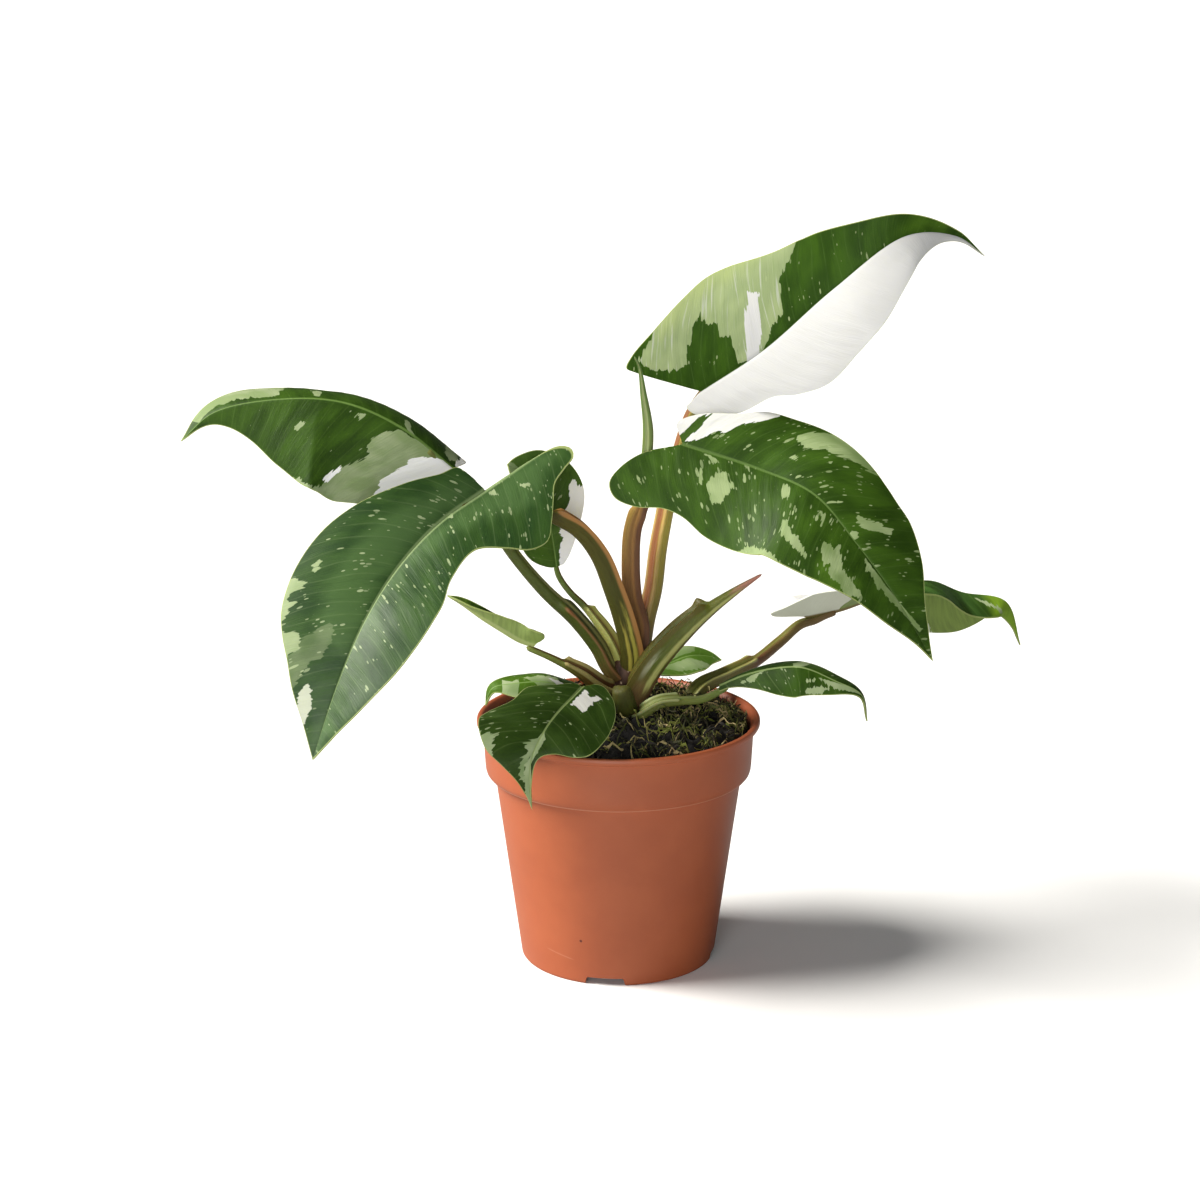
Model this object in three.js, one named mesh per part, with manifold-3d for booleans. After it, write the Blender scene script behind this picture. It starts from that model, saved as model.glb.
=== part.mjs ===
// Potted white princess philodendron: a nursery pot filled with soil, a short stem, and leaves
// on sheathed stalks, with a young leaf still rolled up and a pointed bract beside it.
// Millimetres, +Z up, the pot stands on Z = 0 and its axis is the Z axis.
import * as THREE from 'three';
import { mergeVertices } from 'three/addons/utils/BufferGeometryUtils.js';
import Module from 'manifold-3d';

const wasm = await Module();
wasm.setup();

// Pot
const RIM_RADIUS = 60;
const POT_HEIGHT = 105.5;
const LIP_HEIGHT = 2.8;
const COLLAR_TOP_RADIUS = 57.3;
const COLLAR_LOW_RADIUS = 56.5;
const COLLAR_BOTTOM = 81.2;
const BODY_TOP_RADIUS = 52.4;
const FOOT_RADIUS = 41.4;
const WALL = 1.5;
const FLOOR_UNDERSIDE = 4;
const FLOOR_THICKNESS = 1.5;
const FOOT_RING_WIDTH = 3.6;
const NOTCH_WIDTH = 15;
const NOTCH_HEIGHT = 3.3;
const NOTCH_COUNT = 4;
const NOTCH_START_DEG = -98;
const DRAIN_RADIUS = 3.5;
const DRAIN_CIRCLE_RADIUS = 28;
const POT_SIDES = 48;

// Soil
const SOIL_EDGE_HEIGHT = 99.5;
const SOIL_MOUND = 12;
const SOIL_TILT = 0.035;
const SOIL_SIDES = 32;
const SOIL_RINGS = [0.14, 0.28, 0.42, 0.56, 0.7, 0.84, 1];

// Clearance between touching pieces, and the size of the slivers that cuts leave and that are dropped
const GAP = 0.3;
const SLIVER = 0.03;

// Leaf blades
const BLADE_THICKNESS = 0.7;
const ACROSS = [0, 0.07, 0.36, 0.7, 1];
const FAN_SHARE = 0.3;
const SHOULDER = 0.1;
const FIRST_ROW = 0.05;
const RIB_HALF = 0.8;
const RIB_DEPTH = 1;

// Length of midrib that a stalk runs under
const SEAT_LENGTH = 3;

// Stem in the middle of the pot
const STEM_X = 3;
const STEM_TOP = 131;
const STEM_BOTTOM = 86;

// Colours of the photographed plant
const COLOURS = {
  pot: 0xb96444,
  soil: 0x2a2119,
  stem: 0x6b4a35,
  deepGreen: 0x2f5a2a,
  midGreen: 0x3f6d33,
  paleGreen: 0x8fae5f,
  whiteGreen: 0xc9d3b4,
  oliveStalk: 0x6a6a2c,
  brownStalk: 0x7a4a2c,
  greenStalk: 0x86a042,
  bract: 0x8a8f4a,
};

// Each leaf: rib, the midrib from stalk to tip; face, where the upper side looks at the base,
// the middle and the tip; left and right, the half blades seen from above with the tip ahead.
// edge lists a half's outline as distances along and across the midrib, from the notch at the
// stalk round the lobe to the tip. lift raises a half from flat and curl bends its margin down,
// both in degrees, at the base, middle and tip where three are given.
const LEAVES = [
  {
    name: 'leaf_upper_right_blade',
    colour: COLOURS.whiteGreen,
    rows: 22,
    rib: [[34, 4, 244], [59, -6, 263], [86, -14, 289], [114, -14, 310], [135, -6, 309], [148, 2, 300]],
    face: [[-0.35, -0.94, -0.04], [-0.34, -0.91, 0.26], [0.56, -0.83, 0.07]],
    left: {
      edge: [[-5, 5], [-16, 19], [-22, 25], [-17, 28], [-1, 32], [14, 36], [28, 38], [42, 36],
        [63, 27], [80, 22], [98, 13], [116, 6], [132, 2]],
      lift: 8,
      curl: 15,
    },
    right: {
      edge: [[-5, 1], [-9, 2], [-7, 7], [0, 11], [10, 16], [26, 18], [34, 23], [46, 28], [62, 27],
        [76, 25], [92, 19], [108, 12], [123, 4], [136, 1]],
      lift: 12,
      curl: 20,
    },
  },
  {
    name: 'leaf_right_blade',
    colour: COLOURS.deepGreen,
    rows: 22,
    rib: [[26, -12, 225], [56, -22, 217], [78, -34, 209], [94, -45, 192], [110, -52, 171], [125, -56, 146]],
    face: [[-0.15, -0.86, 0.5], [0.13, -0.78, 0.61], [0.33, -0.88, 0.33]],
    left: {
      edge: [[-4, 3], [-5, 8], [2, 14], [17, 20], [27, 26], [38, 28], [49, 29], [65, 28], [79, 27],
        [91, 26], [106, 19], [119, 10], [132, 4]],
      lift: 8,
      curl: 30,
    },
    right: {
      edge: [[-4, 3], [-14, 9], [-21, 18], [-23, 25], [-19, 30], [-10, 31], [2, 28], [10, 29], [22, 34],
        [38, 36], [53, 35], [72, 32], [89, 23], [103, 16], [118, 10], [132, 3]],
      lift: 8,
      curl: 30,
    },
  },
  {
    name: 'leaf_left_blade',
    colour: COLOURS.deepGreen,
    rows: 20,
    rib: [[-68, -4, 213], [-89, -3, 230], [-113, 0, 240], [-139, 2, 241], [-167, 4, 235], [-181, 4, 223]],
    face: [[0.48, -0.62, 0.62], [0.03, -0.32, 0.95], [-0.52, -0.6, 0.6]],
    left: {
      edge: [[-2, 9], [2, 20], [10, 29], [20, 34], [28, 37], [40, 40], [53, 39], [68, 37], [82, 28],
        [94, 16], [104, 8], [116, 2]],
      lift: -35,
      curl: 15,
    },
    right: {
      edge: [[0, 6], [-3, 12], [-1, 18], [8, 23], [26, 28], [50, 28], [74, 24], [94, 17], [110, 8], [120, 3]],
      lift: [-12, 0, 0],
      curl: 65,
    },
  },
  {
    name: 'leaf_front_left_blade',
    colour: COLOURS.deepGreen,
    rows: 22,
    rib: [[-54, -31, 210], [-72, -47, 200], [-87, -61, 186], [-99, -77, 169], [-109, -88, 147],
      [-119, -97, 118]],
    face: [[0.2, -0.75, 0.63], [-0.1, -0.76, 0.64], [-0.33, -0.88, 0.34]],
    left: {
      edge: [[-13, 1], [-26, 1], [-39, 3], [-42, 7], [-40, 11], [-33, 13], [-24, 16], [-17, 22], [-9, 29],
        [-2, 34], [6, 33], [14, 27], [26, 20], [44, 22], [64, 27], [90, 24], [111, 15], [124, 7]],
      lift: 18,
      curl: 20,
    },
    right: {
      edge: [[1, 3], [2, 8], [4, 14], [13, 16], [27, 22], [44, 30], [56, 34], [70, 35], [86, 32], [94, 28],
        [103, 22], [113, 16], [124, 8]],
      lift: 20,
      curl: 25,
    },
  },
  {
    name: 'leaf_back_left_blade',
    colour: COLOURS.midGreen,
    rows: 14,
    rib: [[-26, 6, 169], [-28, 3, 184], [-31, 0, 199], [-37, -2, 209], [-46, -4, 215]],
    face: [[0.26, -0.94, -0.22], [0.25, -0.97, -0.04], [0.28, -0.91, 0.3]],
    left: {
      edge: [[1, 4], [4, 9], [8, 12], [17, 14], [28, 12], [39, 7], [50, 4]],
      lift: 8,
      curl: 30,
    },
    right: {
      edge: [[0, 2], [3, 5], [10, 9], [20, 14], [30, 18], [38, 17], [44, 13], [49, 8], [53, 3]],
      lift: 8,
      curl: 30,
    },
  },
  {
    name: 'leaf_folded_left_blade',
    colour: COLOURS.paleGreen,
    rows: 12,
    rib: [[-35, -14, 141], [-41, -14, 143], [-49, -15, 148], [-57, -15, 153], [-65, -13, 158],
      [-71, -11, 161]],
    face: [[-0.3, 0.1, 0.95], [-0.5, 0.1, 0.9], [-0.3, 0.1, 1]],
    left: {
      edge: [[-1, 2], [-3, 5], [-2, 6.5], [2, 7], [10, 6.5], [18, 5.5], [28, 4], [38, 2]],
      lift: [55, 60, 60, 30],
      curl: 10,
    },
    right: {
      edge: [[-1, 2], [-3, 4], [-3, 6], [1, 7], [9, 7], [18, 6], [28, 4], [38, 2]],
      lift: [45, 55, 55, 25],
      curl: 10,
    },
  },
  {
    name: 'leaf_front_rim_blade',
    colour: COLOURS.deepGreen,
    rows: 18,
    rib: [[-15, -36, 129], [-19, -44, 127], [-24, -52, 124], [-30, -64, 119], [-35, -71, 110], [-36, -71, 99],
      [-35, -67, 87]],
    face: [[0.1, -0.29, 0.95], [-0.06, -0.63, 0.77], [0.26, -0.92, -0.29]],
    left: {
      edge: [[-3, 3], [-4, 7], [0, 13], [6, 18], [13, 22], [26, 23], [35, 21], [39, 15], [41, 8], [45, 3],
        [56, 1]],
      lift: 8,
      curl: 30,
    },
    right: {
      edge: [[1, 4], [6, 10], [14, 19], [22, 20], [31, 26], [36, 28], [41, 26], [46, 20], [50, 11], [54, 6],
        [61, 2]],
      lift: 8,
      curl: 30,
    },
  },
  {
    name: 'leaf_left_rim_blade',
    colour: COLOURS.midGreen,
    rows: 12,
    rib: [[-19, -22, 123], [-30, -26, 128], [-43, -28, 128], [-52, -28, 126], [-55, -26, 118]],
    face: [[0.3, -0.5, 0.8], [0, -0.5, 0.87], [-0.7, -0.5, 0.5]],
    left: {
      edge: [[-3, 3], [-4, 6], [0, 9], [12, 10], [24, 7], [33, 3], [40, 1]],
      lift: -5,
      curl: 30,
    },
    right: {
      edge: [[-3, 3], [-4, 6], [0, 9], [12, 10], [24, 8], [33, 4], [40, 2]],
      lift: -5,
      curl: 40,
    },
  },
  {
    name: 'leaf_right_rim_blade',
    colour: COLOURS.midGreen,
    rows: 14,
    rib: [[42, -14, 123], [52, -16, 128], [65, -19, 132], [76, -22, 133], [89, -24, 128], [100, -24, 122],
      [103, -22, 110]],
    face: [[-0.2, -0.6, 0.8], [0.1, -0.65, 0.75], [0.6, -0.75, 0.2]],
    left: {
      edge: [[-2, 1], [4, 2], [14, 5], [26, 9], [36, 11], [46, 9], [56, 5], [66, 2]],
      lift: -30,
      curl: 30,
    },
    right: {
      edge: [[-2, 2], [4, 3], [14, 7], [26, 12], [36, 13], [46, 9], [56, 4], [66, 1]],
      lift: -8,
      curl: 20,
    },
  },
  {
    name: 'leaf_far_right_blade',
    colour: COLOURS.midGreen,
    rows: 18,
    rib: [[85, 66, 131], [101, 73, 133], [120, 80, 138], [140, 87, 142], [157, 92, 135], [177, 94, 130],
      [184, 93, 110]],
    face: [[-0.1, -0.1, 1], [0.1, -0.3, 0.95], [0.6, -0.6, 0.5]],
    left: {
      edge: [[-4, 5], [-8, 10], [-4, 14], [4, 17], [20, 20], [44, 24], [60, 25], [74, 23], [88, 16], [102, 7],
        [114, 2]],
      lift: [20, -10, -105, -100, -90],
      curl: 10,
    },
    right: {
      edge: [[-9, 4], [-18, 5], [-20, 7], [-14, 9], [-3, 13], [14, 17], [36, 19], [60, 18], [82, 17],
        [100, 11], [114, 2]],
      lift: [70, 12, 0],
      curl: 10,
    },
  },
  {
    name: 'leaf_small_back_blade',
    colour: COLOURS.paleGreen,
    rows: 10,
    rib: [[16, 24, 119], [23, 27, 121], [31, 30, 123], [39, 33, 122], [45, 34, 120]],
    face: [[-0.11, -0.36, 0.93], [0.02, -0.36, 0.93], [0.35, -0.41, 0.84]],
    left: {
      edge: [[-1, 3], [4, 7], [12, 8], [20, 7], [27, 3]],
      lift: 8,
      curl: 20,
    },
    right: {
      edge: [[-1, 4], [4, 8], [13, 11], [20, 10], [27, 5]],
      lift: 8,
      curl: 20,
    },
  },
];

// Stalks run from the stem outward. open is the side that the sheath opens to, sheath the share
// of the length that is sheathed, wing how far its edges stand out against the stalk's radius,
// fold their angle from the open side, and radii are spread evenly from the bottom to the top.
const STALKS = [
  {
    name: 'bract',
    colour: COLOURS.bract,
    path: [[7, -6, 112], [9, -9, 119], [15, -12, 131], [25, -14, 144], [36, -15, 155], [48, -15, 164],
      [59, -14, 171]],
    radii: [4.6, 4.4, 4.2, 3.8, 3, 1.8, 0.5],
    open: [-0.65, -0.1, 0.75],
    sheath: 0.68,
    wing: 1.1,
    fold: 30,
  },
  {
    name: 'leaf_front_left_stalk',
    colour: COLOURS.oliveStalk,
    path: [[4, -2, 127], [4, -5, 136], [1, -8, 150], [-3, -11, 163], [-9, -14, 179], [-17, -17, 190],
      [-26, -20, 196], [-40, -22, 203], [-51, -25, 207]],
    radii: [3.6, 3.4, 3.2, 3, 2.7, 2.4, 2.2, 2],
    open: [0.8, 0.2, 0.4],
    sheath: 0.64,
    wing: 1.15,
    fold: 30,
  },
  {
    name: 'sheath_stub',
    colour: COLOURS.greenStalk,
    path: [[3, -10, 106], [2, -13, 114], [0.5, -15, 123]],
    radii: [4.8, 4.6, 3.4],
    open: [0.3, 0.9, 0.2],
    sheath: 1,
    wing: 0.3,
    fold: 58,
  },
  {
    name: 'leaf_right_stalk',
    colour: COLOURS.brownStalk,
    path: [[6, 2, 127], [8, 2, 132], [9, 2, 143], [6, 1, 156], [5, 0, 171], [6, -1, 187], [11, -3, 201],
      [17, -5, 213], [24, -8, 221]],
    radii: [3.4, 3.4, 3.3, 3.2, 3, 2.6, 2.2],
    open: [0, -0.7, 0.4],
    sheath: 0.6,
    wing: 0.4,
    fold: 58,
  },
  {
    name: 'leaf_upper_right_stalk',
    colour: COLOURS.brownStalk,
    path: [[8, 4, 124], [10, 6, 133], [12, 6, 146], [15, 7, 159], [17, 8, 176], [20, 9, 193], [25, 10, 218],
      [30, 10, 234], [33, 8, 242]],
    radii: [3.6, 3.5, 3.4, 3.2, 2.8, 2.2, 1.9],
    open: [-0.8, -0.5, 0.2],
    sheath: 0.55,
    wing: 0.5,
    fold: 58,
  },
  {
    name: 'leaf_left_stalk',
    colour: COLOURS.oliveStalk,
    path: [[0, -1, 122], [-4, -2, 127], [-9, -3, 137], [-18, -4, 149], [-31, -5, 162], [-44, -5, 178],
      [-57, -3, 198], [-66, -2, 211]],
    radii: [3.4, 3.4, 3.2, 2.8, 2.7, 2.5, 2.2],
    open: [0.6, -0.2, 0.7],
    sheath: 0.32,
    wing: 0.6,
    fold: 58,
  },
  {
    name: 'leaf_back_left_stalk',
    colour: COLOURS.greenStalk,
    path: [[0, 2, 128], [-1, 2, 132], [-4, 4, 138], [-9, 6, 145], [-15, 8, 152], [-20, 8, 157], [-25, 9, 164],
      [-26, 7, 168]],
    radii: [2.2, 2.2, 2, 1.6, 1.4, 1.3, 1],
    open: [0.7, -0.3, 0.5],
    sheath: 0.5,
    wing: 1.3,
    fold: 50,
  },
  {
    name: 'leaf_folded_left_stalk',
    colour: COLOURS.brownStalk,
    path: [[-2, -6, 117], [-7, -10, 120], [-16, -13, 128], [-24, -14, 133], [-30, -14, 136], [-35, -14, 140]],
    radii: [2.8, 2.8, 2.4, 1.7, 1.4, 1.3],
    open: [0.4, -0.3, 0.9],
    sheath: 0.62,
    wing: 1.4,
    fold: 40,
  },
  {
    name: 'leaf_front_rim_stalk',
    colour: COLOURS.greenStalk,
    path: [[-7, -8, 112], [-8, -14, 116], [-10, -22, 121], [-12, -29, 126], [-15, -35, 128]],
    radii: [2.4, 2.2, 1.8, 1.6],
    open: [0, -0.2, 1],
    sheath: 0.4,
    wing: 0.6,
    fold: 58,
  },
  {
    name: 'leaf_right_rim_stalk',
    colour: COLOURS.greenStalk,
    path: [[8, -9, 104], [10, -16, 111], [17, -17, 116], [26, -16, 117], [35, -15, 117.5], [41, -14, 122]],
    radii: [2.4, 2.4, 2.2, 1.9, 1.7, 1.3],
    open: [-0.2, -0.3, 1],
    sheath: 0.55,
    wing: 0.8,
    fold: 45,
  },
  {
    name: 'leaf_left_rim_stalk',
    colour: COLOURS.greenStalk,
    path: [[-3, -5, 108], [-6, -10, 112], [-12, -17, 117], [-18, -21, 122]],
    radii: [1.8, 1.7, 1.5, 1.3],
    open: [0, -0.2, 1],
    sheath: 0.4,
    wing: 0.5,
    fold: 58,
  },
  {
    name: 'leaf_far_right_stalk',
    colour: COLOURS.brownStalk,
    path: [[27, 17, 98], [35, 22, 110], [47, 33, 113], [60, 45, 116], [72, 57, 122], [81, 63, 128],
      [84, 66, 130]],
    radii: [3, 3, 2.8, 2.6, 2.5, 2.2, 1.6],
    open: [-0.3, -0.4, 0.9],
    sheath: 0.5,
    wing: 0.7,
    fold: 40,
  },
  {
    name: 'leaf_small_back_stalk',
    colour: COLOURS.greenStalk,
    path: [[12, 11, 100], [13, 14, 110], [14, 19, 116], [16, 23, 118]],
    radii: [1.6, 1.5, 1.3, 1.1],
    open: [0, -0.3, 1],
    sheath: 0.3,
    wing: 0.4,
    fold: 58,
  },
  {
    name: 'rolled_leaf',
    colour: COLOURS.greenStalk,
    path: [[10, -7, 198], [10, -8, 206], [11, -8, 213], [12, -8, 230], [10, -8, 245], [8, -9, 257],
      [6, -10, 261]],
    radii: [1.6, 2, 2.1, 2, 1.5, 0.9, 0.4],
    open: [-0.3, -0.9, 0.2],
    sheath: 1,
    wing: 0.25,
    fold: 58,
  },
];

function vector(p) {
  return new THREE.Vector3(p[0], p[1], p[2]);
}

// A closed body from a list of points and triangles, turned so that it faces outward
function closedBody(points, faces) {
  const geometry = new THREE.BufferGeometry();
  const flat = points.flatMap((p) => [p.x, p.y, p.z]);
  geometry.setAttribute('position', new THREE.Float32BufferAttribute(flat, 3));
  geometry.setIndex(faces.flat());
  const merged = mergeVertices(geometry, 1e-3);
  const position = merged.getAttribute('position');
  const index = merged.getIndex().array;
  const kept = [];
  let volume = 0;
  const a = new THREE.Vector3();
  const b = new THREE.Vector3();
  const c = new THREE.Vector3();
  for (let i = 0; i < index.length; i += 3) {
    const [p, q, r] = [index[i], index[i + 1], index[i + 2]];
    if (p === q || q === r || r === p) continue;
    kept.push(p, q, r);
    a.fromBufferAttribute(position, p);
    b.fromBufferAttribute(position, q);
    c.fromBufferAttribute(position, r);
    volume += a.dot(b.cross(c)) / 6;
  }
  if (volume < 0) {
    for (let i = 0; i < kept.length; i += 3) [kept[i], kept[i + 1]] = [kept[i + 1], kept[i]];
  }
  merged.setIndex(kept);
  return merged;
}

function toSolid(geometry) {
  const bare = new THREE.BufferGeometry();
  bare.setAttribute('position', geometry.getAttribute('position').clone());
  if (geometry.getIndex()) bare.setIndex(geometry.getIndex().clone());
  const merged = mergeVertices(bare, 1e-4);
  const mesh = new wasm.Mesh({
    numProp: 3,
    vertProperties: new Float32Array(merged.getAttribute('position').array),
    triVerts: new Uint32Array(merged.getIndex().array),
  });
  return new wasm.Manifold(mesh);
}

// The largest body of a solid, so that the scraps of a cut are dropped
function largestBody(solid) {
  const bodies = solid.decompose();
  let largest = bodies[0];
  for (const body of bodies) {
    if (body.volume() > largest.volume()) largest = body;
  }
  return largest;
}

function toGeometry(solid) {
  const mesh = largestBody(largestBody(solid).asOriginal().simplify(SLIVER)).getMesh();
  const geometry = new THREE.BufferGeometry();
  geometry.setAttribute('position', new THREE.BufferAttribute(new Float32Array(mesh.vertProperties), 3));
  geometry.setIndex(new THREE.BufferAttribute(new Uint32Array(mesh.triVerts), 1));
  return geometry;
}

function mix(list, share) {
  if (typeof list === 'number') return list;
  const place = THREE.MathUtils.clamp(share, 0, 1) * (list.length - 1);
  const low = Math.min(Math.floor(place), list.length - 2);
  return THREE.MathUtils.lerp(list[low], list[low + 1], place - low);
}

// The curved sheet of a leaf: a function from (half, along, across) to a point in space
function bladeSheet(leaf) {
  const STEPS = 200;
  const curve = new THREE.CatmullRomCurve3(leaf.rib.map(vector));
  const points = curve.getPoints(STEPS);
  const lengths = [0];
  for (let i = 1; i <= STEPS; i += 1) lengths.push(lengths[i - 1] + points[i].distanceTo(points[i - 1]));
  const total = lengths[STEPS];
  const tangents = points.map((p, i) => {
    const next = points[Math.min(i + 1, STEPS)];
    return next.clone().sub(points[Math.max(i - 1, 0)]).normalize();
  });
  const faces = leaf.face.map((f) => vector(f).normalize());
  const normals = points.map((p, i) => {
    const place = (lengths[i] / total) * (faces.length - 1);
    const low = Math.min(Math.floor(place), faces.length - 2);
    const normal = faces[low].clone().lerp(faces[low + 1], place - low);
    return normal.addScaledVector(tangents[i], -normal.dot(tangents[i])).normalize();
  });

  function frame(along) {
    const inside = THREE.MathUtils.clamp(along, 0, total);
    let i = 0;
    while (i < STEPS - 1 && lengths[i + 1] < inside) i += 1;
    const share = (inside - lengths[i]) / (lengths[i + 1] - lengths[i]);
    const tangent = tangents[i].clone().lerp(tangents[i + 1], share).normalize();
    const normal = normals[i].clone().lerp(normals[i + 1], share).normalize();
    const middle = points[i].clone().lerp(points[i + 1], share);
    middle.addScaledVector(tangent, along - inside);
    return { middle, tangent, normal, sideways: tangent.clone().cross(normal) };
  }

  function place(half, along, across) {
    const { middle, normal, sideways } = frame(along);
    const data = half > 0 ? leaf.right : leaf.left;
    const width = Math.max(...data.edge.map((p) => p[1]));
    const lift = THREE.MathUtils.degToRad(mix(data.lift, along / total));
    let curl = THREE.MathUtils.degToRad(mix(data.curl, along / total));
    if (Math.abs(curl) < 1e-3) curl = 1e-3;
    const angle = lift - curl * (across / width);
    const out = (width / curl) * (Math.sin(lift) - Math.sin(angle));
    const rise = (width / curl) * (Math.cos(angle) - Math.cos(lift));
    return middle.addScaledVector(sideways, half * out).addScaledVector(normal, rise);
  }

  function facing(half, along, across) {
    const step = 0.4;
    const ahead = place(half, along + step, across).sub(place(half, along - step, across));
    const inner = Math.max(across - step, 0);
    const outward = place(half, along, across + step).sub(place(half, along, inner));
    return outward.cross(ahead).multiplyScalar(half).normalize();
  }

  return { total, frame, place, facing };
}

// Where the rows of a half blade begin on its outline: the last place round the lobe that stands
// further back, as seen from the stalk, than all that follows
function firstShare(outline, shoulder) {
  let best = shoulder;
  let least = Infinity;
  for (let share = shoulder; share >= FIRST_ROW; share -= 0.005) {
    const point = outline.getPointAt(share);
    const angle = Math.atan2(point.y, -point.x);
    if (angle > least) return best;
    least = angle;
    best = share;
  }
  return best;
}

// Where the outline, on its way round the lobe, is last less far along than reach
function shoulderShare(outline, reach) {
  let share = 0.75;
  while (share > FIRST_ROW && outline.getPointAt(share).x > reach) share -= 0.005;
  return share;
}

function bladeGeometry(leaf) {
  const sheet = bladeSheet(leaf);
  const rows = leaf.rows;
  const columns = ACROSS.length;
  const points = [];
  const faces = [];
  const index = {};
  for (const half of [1, -1]) {
    const edge = (half > 0 ? leaf.right : leaf.left).edge;
    const outline = new THREE.CatmullRomCurve3(
      [[0, 0], ...edge, [sheet.total, 0]].map((p) => new THREE.Vector3(p[0], p[1], 0)),
    );
    const top = [];
    const bottom = [];
    const shoulder = shoulderShare(outline, SHOULDER * sheet.total);
    const first = firstShare(outline, shoulder);
    for (let row = 0; row < rows; row += 1) {
      const beyond = (row / (rows - 1) - FAN_SHARE) / (1 - FAN_SHARE);
      const share = beyond < 0
        ? THREE.MathUtils.lerp(first, shoulder, 1 + (beyond * (1 - FAN_SHARE)) / FAN_SHARE)
        : THREE.MathUtils.lerp(shoulder, 1, beyond);
      const end = outline.getPointAt(share);
      const width = Math.max(end.y, 0);
      const start = sheet.total * Math.max(0, beyond) ** 1.1;
      top.push([]);
      bottom.push([]);
      for (let column = 0; column < columns; column += 1) {
        const out = column === 1 ? THREE.MathUtils.clamp(RIB_HALF / width, ACROSS[1], 0.3) : ACROSS[column];
        const along = THREE.MathUtils.lerp(start, end.x, out);
        const across = width * out;
        const point = sheet.place(half, along, across);
        let normal = sheet.facing(half, along, across);
        let below = BLADE_THICKNESS / 2;
        if (column === 0 || row === rows - 1) {
          const sides = [sheet.facing(1, along, 0), sheet.facing(-1, along, 0)];
          normal = sides[0].clone().add(sides[1]).normalize();
          const open = Math.max(0, sides[0].dot(sides[1]));
          below += RIB_DEPTH * open * Math.max(0, 1 - along / sheet.total) ** 0.8;
        }
        top[row].push(points.length);
        points.push(point.clone().addScaledVector(normal, BLADE_THICKNESS / 2));
        bottom[row].push(points.length);
        points.push(point.clone().addScaledVector(normal, -below));
      }
    }
    index[half] = { top, bottom };
  }
  for (const half of [1, -1]) {
    const { top, bottom } = index[half];
    const turn = (a, b, c) => (half > 0 ? [a, b, c] : [a, c, b]);
    for (let column = 0; column < columns - 1; column += 1) {
      faces.push(turn(top[0][column], bottom[0][column], bottom[0][column + 1]));
      faces.push(turn(top[0][column], bottom[0][column + 1], top[0][column + 1]));
    }
    for (let row = 0; row < rows - 1; row += 1) {
      for (let column = 0; column < columns - 1; column += 1) {
        const t = [top[row][column], top[row + 1][column], top[row + 1][column + 1], top[row][column + 1]];
        const u = [bottom[row][column], bottom[row + 1][column], bottom[row + 1][column + 1],
          bottom[row][column + 1]];
        faces.push(turn(t[0], t[2], t[1]), turn(t[0], t[3], t[2]));
        faces.push(turn(u[0], u[1], u[2]), turn(u[0], u[2], u[3]));
      }
      const last = columns - 1;
      faces.push(turn(top[row][last], bottom[row][last], bottom[row + 1][last]));
      faces.push(turn(top[row][last], bottom[row + 1][last], top[row + 1][last]));
    }
  }
  return closedBody(points, faces);
}

// Stalks: the spacing of their rings, and the share of the length over which a sheath ends
const RING_SPACING = 9;
const SHEATH_END = 0.035;

// A stalk's cross-section: the angle from the open side in degrees, or as a share of the fold
// angle at which the sheath's two edges stand, with the radius of the plain stalk against its
// nominal one and what the sheath adds to it
const SECTION = [
  { share: 0, plain: 0.8, added: -0.2 },
  { share: 0.55, plain: 0.95, added: 0.15 },
  { share: 1, plain: 1, added: 1 },
  { share: 1, more: 26, plain: 1, added: 0.2 },
  { more: 130, plain: 1, added: 0 },
  { more: 180, plain: 1, added: 0 },
];

function stalkGeometry(stalk, grow) {
  const curve = new THREE.CatmullRomCurve3(stalk.path.map(vector));
  const length = curve.getLength();
  const count = Math.max(4, Math.round(length / RING_SPACING));
  const stations = [];
  for (let i = 0; i <= count; i += 1) stations.push(i / count);
  if (stalk.sheath < 1) stations.push(stalk.sheath, stalk.sheath + SHEATH_END);
  stations.sort((a, b) => a - b);
  const close = 0.3 / count;
  const kept = stations.filter((t, i) => {
    const special = t === stalk.sheath || t === stalk.sheath + SHEATH_END;
    const crowded = stations.some((other, j) => j !== i && Math.abs(other - t) < close);
    return special || !crowded || t === 0 || t === 1;
  });
  const open = vector(stalk.open);
  const points = [];
  const faces = [];
  const half = SECTION.map((part) => ({
    ...part,
    angle: THREE.MathUtils.degToRad((part.share ?? 0) * stalk.fold + (part.more ?? 0)),
  }));
  const mirrored = half.slice(1, -1).reverse().map((part) => ({ ...part, angle: -part.angle }));
  const section = [...half, ...mirrored];
  const sides = section.length;
  kept.forEach((t, ring) => {
    const centre = curve.getPointAt(t);
    const tangent = curve.getTangentAt(t);
    const front = open.clone().addScaledVector(tangent, -open.dot(tangent)).normalize();
    const side = tangent.clone().cross(front);
    if (ring === 0) centre.addScaledVector(tangent, -grow);
    if (ring === kept.length - 1) centre.addScaledVector(tangent, grow);
    const radius = mix(stalk.radii, t);
    const sheathed = t <= stalk.sheath ? stalk.wing : 0;
    for (const { angle, plain, added } of section) {
      const out = radius * (plain + added * sheathed) + grow;
      points.push(centre.clone()
        .addScaledVector(front, out * Math.cos(angle))
        .addScaledVector(side, out * Math.sin(angle)));
    }
  });
  for (let ring = 0; ring < kept.length - 1; ring += 1) {
    for (let k = 0; k < sides; k += 1) {
      const a = ring * sides + k;
      const b = ring * sides + ((k + 1) % sides);
      faces.push([a, b, b + sides], [a, b + sides, a + sides]);
    }
  }
  const last = (kept.length - 1) * sides;
  for (let k = 1; k < sides - 1; k += 1) {
    faces.push([0, k + 1, k], [last, last + k, last + k + 1]);
  }
  return closedBody(points, faces);
}

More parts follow.
